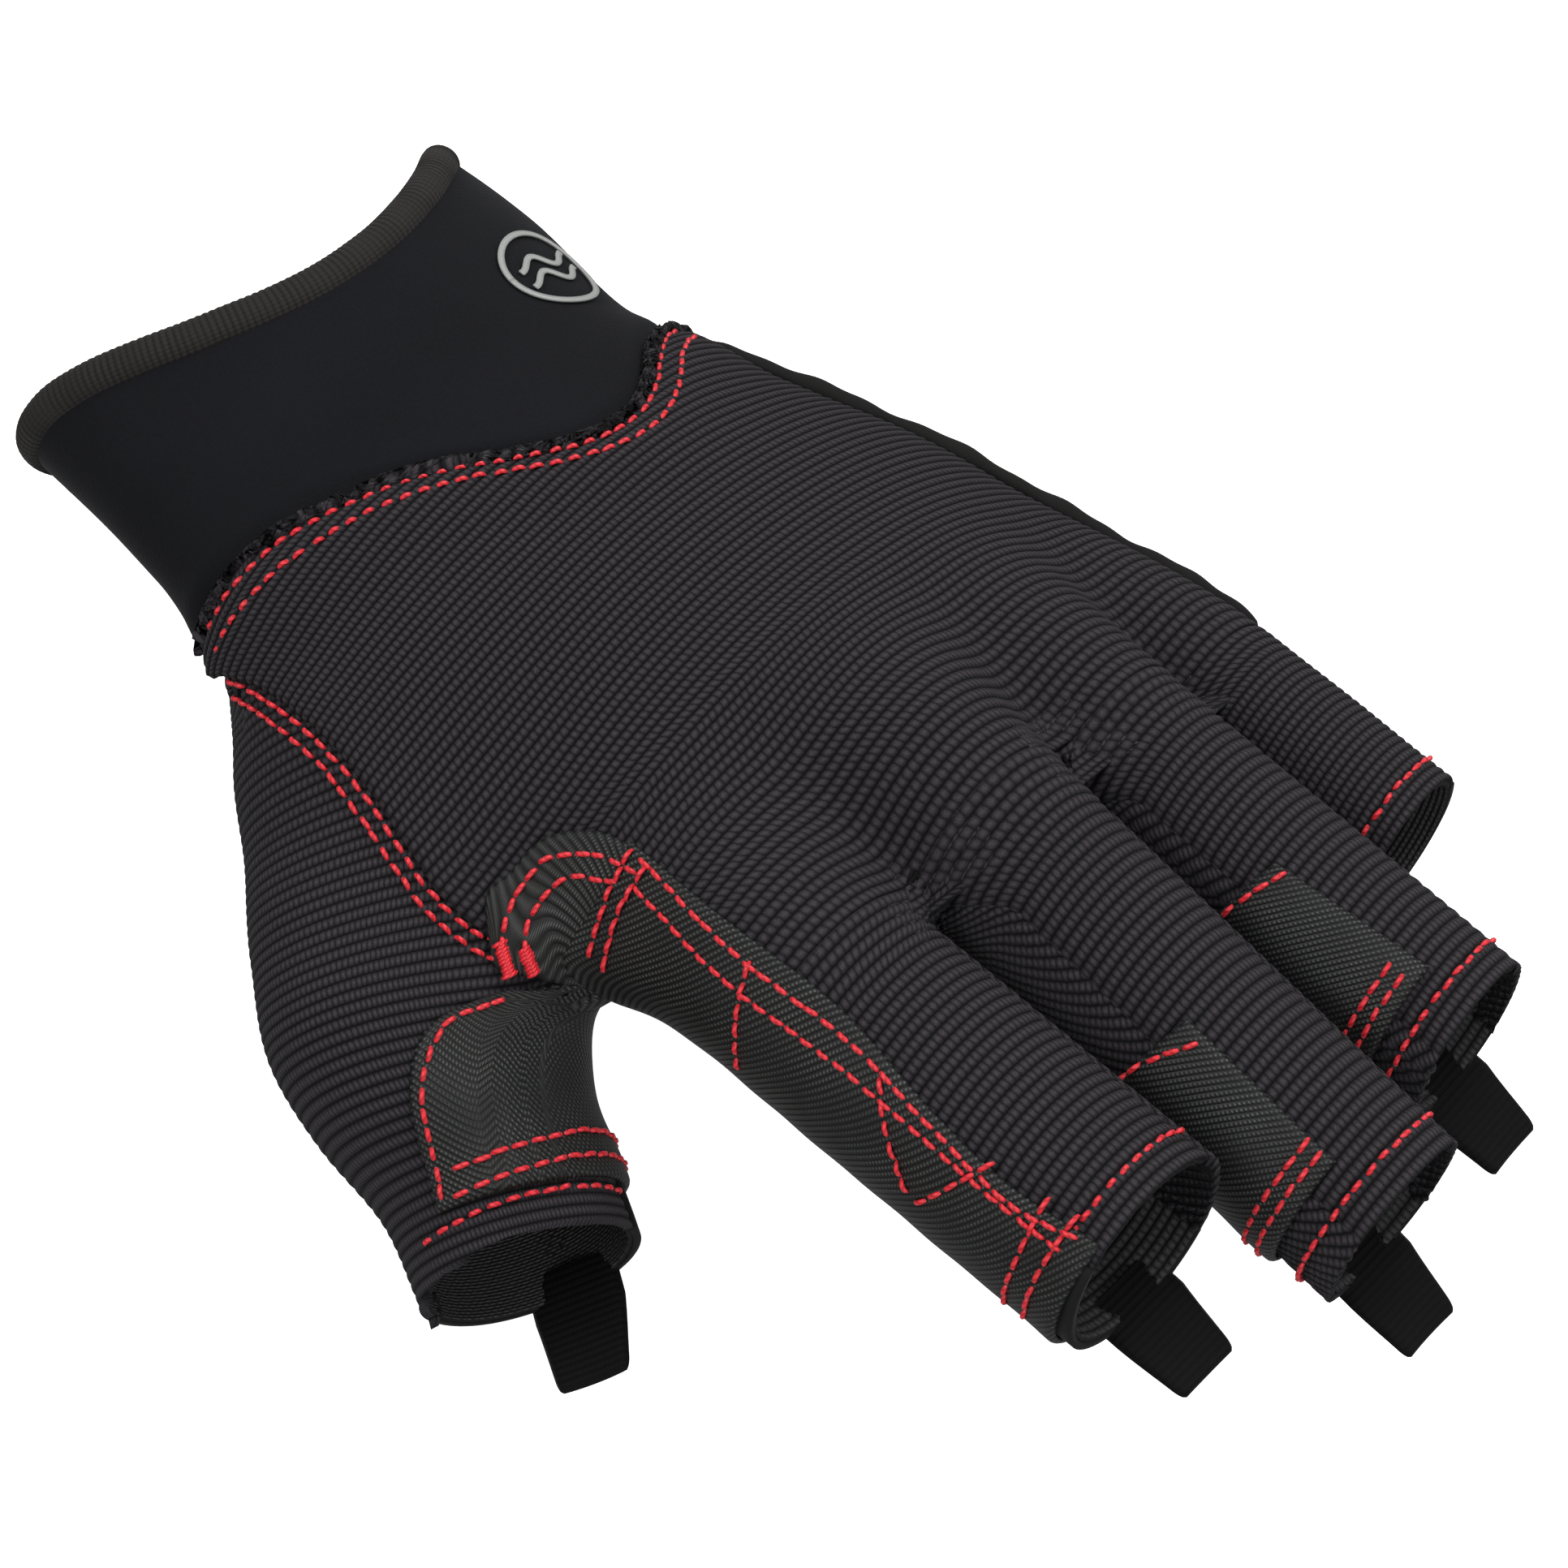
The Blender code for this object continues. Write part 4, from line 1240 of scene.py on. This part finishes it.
def stitch_row(part, surface, knots, lift, seed):
    """Single stitches along a curve, each a little uneven; lift is the height of the cloth they lie on."""
    line = seam_line(surface, knots)
    total = line[2][-1]
    count = max(1, int(total / STITCH_PITCH))
    rng = np.random.default_rng(seed)
    start = (total - count * STITCH_PITCH) / 2 + np.arange(count) * STITCH_PITCH
    start += rng.normal(0, 0.00012, count)
    length = (LONG_STITCH if lift >= ON_TWILL else SHORT_STITCH) + rng.normal(0, 0.0001, count)
    t = np.linspace(0, 1, 7)
    p, n = at_length(line, start[:, None] + length[:, None] * t)
    tangent = np.gradient(p, axis=1)
    tangent /= np.linalg.norm(tangent, axis=-1, keepdims=True) + 1e-12
    side = np.cross(tangent, n)
    arch = np.array([-0.00042, -0.00002, 0.00014, 0.00018, 0.00014, -0.00002, -0.00042])
    skew = rng.normal(0, 0.00011, count)[:, None] * (t - 0.5) + rng.normal(0, 0.00005, count)[:, None]
    p = p + n * (lift + arch)[None, :, None] + side * skew[..., None]
    add_stitches(part, p, n, side, THREAD)


def bar_tack(part, knots, lift, seed):
    """A dense bar of thread along a line in the hand frame, sewn across it."""
    line = seam_line(None, knots)
    count = int(line[2][-1] / TACK_PITCH)
    rng = np.random.default_rng(seed)
    where = (np.arange(count) + 0.5) * TACK_PITCH
    p, n = at_length(line, where)
    tangent = np.gradient(p, axis=0)
    tangent /= np.linalg.norm(tangent, axis=-1, keepdims=True)
    side = np.cross(tangent, n)
    t = np.linspace(-0.5, 0.5, 7)
    arch = np.array([-0.0002, 0.00018, 0.0003, 0.00034, 0.0003, 0.00018, -0.0002])
    reach = (TACK_WIDTH + rng.normal(0, 0.00014, count))[:, None] * t
    centres = (p[:, None] + side[:, None] * reach[..., None] + tangent[:, None] * (t * 0.00035)[None, :, None]
               + n[:, None] * (lift + arch)[None, :, None])
    add_stitches(part, centres, np.repeat(n[:, None], 7, 1), np.repeat(tangent[:, None], 7, 1), TACK_THREAD)


def make_thread():
    for part, groups in STITCHES.items():
        tubes = np.concatenate(groups)
        count, rings, sides = tubes.shape[:3]
        points = tubes.reshape(-1, 3)
        faces, uvs = [], []
        for k in range(count):
            start = k * rings * sides
            for r in range(rings - 1):
                for c in range(sides):
                    d = (c + 1) % sides
                    faces.append([start + r * sides + c, start + r * sides + d,
                                  start + (r + 1) * sides + d, start + (r + 1) * sides + c])
                    corners = ((r, c), (r, c + 1), (r + 1, c + 1), (r + 1, c))
                    uvs += [(along / 6, around / 6) for along, around in corners]
            for r, order in ((0, 1), (rings - 1, -1)):
                faces.append([start + r * sides + c for c in range(sides)][::-order])
                uvs += [(0, 0)] * sides
        ride(make_mesh(part + "_thread", points, faces, uvs, "thread"), part)


def rim_share(name, inset):
    """Share of a stall at this distance from its rim."""
    return 1 - inset / finger_surfaces[name].whole


def share_of(name, y):
    """Share of the way along a stall at this y in its own frame."""
    return (FOLD - y) / finger_surfaces[name].whole


ON_KNIT, ON_LAP, ON_TWILL, ON_PALM = 0.00022, 0.00045, 0.00130, 0.00035


# Degrees: over the back, and under the palm from the thumb's seam on
CUFF_ROWS = ((30, 178), (math.degrees(palm_edge(-0.002)) + 3, 381))


def sew():
    for inset, lift, seed in ((0.0011, LAP - 0.0003, 31), (0.0036, LAP + 0.0001, 32)):
        for first, last in CUFF_ROWS:
            knots = [(cuff_seam(math.radians(a)) - inset, a) for a in np.arange(first, last, 4.0)]
            stitch_row("hand", hand_surface, knots, lift, seed)
    sew_thumb()
    sew_twill()
    for name in FINGERS:
        v = rim_share(name, 0.0042)
        stitch_row(name, finger_surfaces[name], [(v, a) for a in np.arange(36, 330, 12)], ON_KNIT, 51)
    for name in ("index", "middle", "ring", "thumb"):
        sew_tab(name)


def sew_thumb():
    stitch_row("hand", None, SEAM_KNOTS, ON_LAP, 33)
    stitch_row("hand", None, seam_row[::3], ON_LAP, 34)
    a = np.arange(2, 130, 9)
    stitch_row("thumb", thumb_surface, [(thumb_rim(np.radians(k)) + 0.0040, k) for k in a], ON_KNIT, 52)


# Rows of stitching in the hand frame, in millimetres
CROTCH_ROWS = (
    [(-44, -51, -4), (-41, -49, -2), (-37, -48, 0), (-33, -49, 3), (-30, -54, 5), (-29, -60, 6)],
    [(-42, -53, -5), (-39, -51, -2), (-36, -51, 0), (-33, -52, 2), (-31, -57, 4), (-30, -59, 4)],
    [(-27, -57, 7), (-33, -58, 2), (-37, -59, -4)],
    [(-27, -60, 7), (-32, -60, 3), (-36, -61, -5)])
WRAP_ROWS = (
    [(-28, -58, 7), (-30, -76, 7), (-30, -92, 7), (-31, -106, 5), (-31, -118, 3), (-30, -127, 4)],
    [(-30, -59, 5), (-32, -76, 5), (-32, -92, 5), (-32, -106, 4), (-32, -118, 3), (-31, -127, 2)],
    [(-29, -77, 8), (-34, -80, 2), (-35, -82, -5)],
    [(-30, -97, 6), (-33, -102, 2), (-35, -108, -3)],
    [(-35, -108, -3), (-33, -111, 1), (-29, -114, 5)],
    [(-28, -121, 5), (-33, -122, 0), (-34, -122, -10)],
    [(-28, -125, 5), (-33, -125, 0), (-34, -125, -9)])
# Rows on the stalls: y along the stall in millimetres, degrees round it
STALL_ROWS = {
    "middle": ([(-22, 205), (-24, 160), (-29, 120)],
               *([(y, a) for a in (112, 150, 190, 222)] for y in (-45, -47))),
    "ring": ([(-15, 205), (-17, 160), (-21, 112)],
             *([(y, a) for a in (112, 150, 190, 222)] for y in (-37, -39))),
}
THUMB_ROWS = (
    [(-58, 92), (-60, 68), (-65, 52), (-72, 37), (-79, 25)],
    [(-76, 34), (-75, 75), (-74, 115), (-74, 180)],
    [(-79, 27), (-78, 65), (-77, 110), (-77, 180)])
BAR_TACKS = ([(-43, -50, -3), (-44, -52, -5), (-44.5, -53, -6)], [(-41, -52, -4), (-42, -55, -6)])


def sew_twill():
    """Rows round the patches: crotch, index wrap, middle, ring and thumb."""
    for k, row in enumerate(CROTCH_ROWS):
        stitch_row("hand", None, np.array(row) * MM, ON_TWILL + (0.0004 if k > 1 else 0), 60 + k)
    for k, row in enumerate(WRAP_ROWS):
        stitch_row("index", None, np.array(row) * MM, ON_TWILL + 0.0002, 70 + k)
    for k, row in enumerate(BAR_TACKS):
        bar_tack("hand", np.array(row) * MM, ON_TWILL, 3 + k)
    for name, rows in STALL_ROWS.items():
        for k, row in enumerate(rows):
            knots = [(share_of(name, y * MM), a) for y, a in row]
            stitch_row(name, finger_surfaces[name], knots, ON_TWILL, 80 + k)
    for k, row in enumerate(THUMB_ROWS):
        stitch_row("thumb", thumb_surface, [(y * MM, a) for y, a in row], ON_TWILL, 90 + k)
    sew_palm_patch()


def sew_palm_patch():
    """Two rows round the palm patch."""
    for inset, seed in ((0.002, 95), (0.0042, 96)):
        low_y, high_y = PALM_PATCH_ENDS[0] - inset, PALM_PATCH_ENDS[1] + inset
        knots = []
        for s in np.linspace(0.05, 0.95, 16):
            bow = 1 - 0.10 * (1 - math.sin(math.pi * s)) ** 2
            side = PALM_PATCH_MIDDLE + PALM_PATCH_HALF * bow - inset / 0.042 * 57
            knots.append((between(low_y, high_y, s), side))
        ends = [(high_y, a) for a in np.linspace(knots[-1][1] - 4, PALM_PATCH_MIDDLE - 44, 8)]
        back = [(y, 2 * PALM_PATCH_MIDDLE - a) for y, a in knots[::-1]]
        last = [(low_y, 2 * PALM_PATCH_MIDDLE - a) for _, a in ends]
        for row in (knots, ends, back, last):
            stitch_row("hand", hand_surface, row, ON_TWILL, seed)


def sew_tab(name):
    """The stitching that holds a tab, just inside its rim."""
    surface = thumb_surface if name == "thumb" else finger_surfaces[name]
    middle = 270 - math.degrees(THUMB_TAB_TURN) if name == "thumb" else 270
    angles = np.linspace(middle - 24, middle + 24, 5)
    for inset, seed in ((0.0022, 97), (0.0044, 98)):
        if name == "thumb":
            knots = [(thumb_rim(math.radians(a)) + inset, a) for a in angles]
        else:
            knots = [(rim_share(name, inset), a) for a in angles]
        stitch_row(name, surface, knots, ON_PALM, seed)


# ---------------------------------------------------------------- building
make_back_panel()
make_palm_panel()
for finger in FINGERS:
    make_finger(finger)
for key in GUSSETS:
    make_gusset(key)
make_webs()
make_thumb()
hand_patches()
finger_patches()
thumb_patch()
make_cuff()
for name in ("index", "middle", "ring", "thumb"):
    make_tab(name)
sew()
make_thread()

# ---------------------------------------------------------------- camera, light and floor
CAMERA_FROM_HAND = Vector((-0.2227, -0.2108, 0.5449))
AZIMUTH, ELEVATION, CAMERA_ROLL = math.radians(-55.28), math.radians(63.70), math.radians(8.11)
LENS = 115.9


def make_camera():
    back = Vector((math.sin(AZIMUTH) * math.cos(ELEVATION), -math.cos(AZIMUTH) * math.cos(ELEVATION),
                   math.sin(ELEVATION)))
    level = Vector((math.cos(AZIMUTH), math.sin(AZIMUTH), 0))
    upright = back.cross(level)
    right = level * math.cos(CAMERA_ROLL) + upright * math.sin(CAMERA_ROLL)
    turn = Matrix((right, back.cross(right), back)).transposed().to_4x4()
    camera = bpy.data.objects.new("camera", bpy.data.cameras.new("camera"))
    camera.data.lens, camera.data.clip_start = LENS, 0.01
    camera.matrix_world = Matrix.Translation(HAND_ORIGIN + CAMERA_FROM_HAND) @ turn
    bpy.context.scene.collection.objects.link(camera)
    bpy.context.scene.camera = camera


def make_light(name, place, size, power):
    data = bpy.data.lights.new(name, "AREA")
    data.shape, data.size, data.energy = "DISK", size, power
    light = bpy.data.objects.new(name, data)
    bpy.context.scene.collection.objects.link(light)
    light.location = place
    light.rotation_euler = (Vector((0, 0, 0.02)) - Vector(place)).to_track_quat("-Z", "Y").to_euler()


FLOOR_HALF, FLOOR_GAP = 3.0, 0.0005


def make_floor():
    mesh = bpy.data.meshes.new("floor")
    corners = [(x * FLOOR_HALF, y * FLOOR_HALF, 0) for x, y in ((-1, -1), (1, -1), (1, 1), (-1, 1))]
    mesh.from_pydata(corners, [], [(0, 1, 2, 3)])
    material, _, shader = new_material("floor", 0.9, specular=0.1)
    shader.inputs["Base Color"].default_value = (0.90, 0.90, 0.90, 1)
    shader.inputs["Emission Color"].default_value = (1, 1, 1, 1)
    shader.inputs["Emission Strength"].default_value = 0.97
    mesh.materials.append(material)
    floor = bpy.data.objects.new("floor", mesh)
    floor.location.z = -FLOOR_GAP
    bpy.context.scene.collection.objects.link(floor)
    floor.visible_diffuse = floor.visible_glossy = False     # its glow doesn't light the glove from below


make_camera()
make_light("key", (-0.55, 0.45, 1.05), 0.7, 6.3)
make_light("fill", (0.75, 0.10, 0.80), 0.8, 6.2)
make_light("front", (-0.20, -0.95, 0.60), 0.8, 3.6)
make_floor()
world_light = bpy.data.worlds.new("studio")
bpy.context.scene.world = world_light
world_light.use_nodes = True
world_light.node_tree.nodes["Background"].inputs["Color"].default_value = (1, 1, 1, 1)
world_light.node_tree.nodes["Background"].inputs["Strength"].default_value = 0.30
bpy.context.scene.view_settings.view_transform = "Standard"
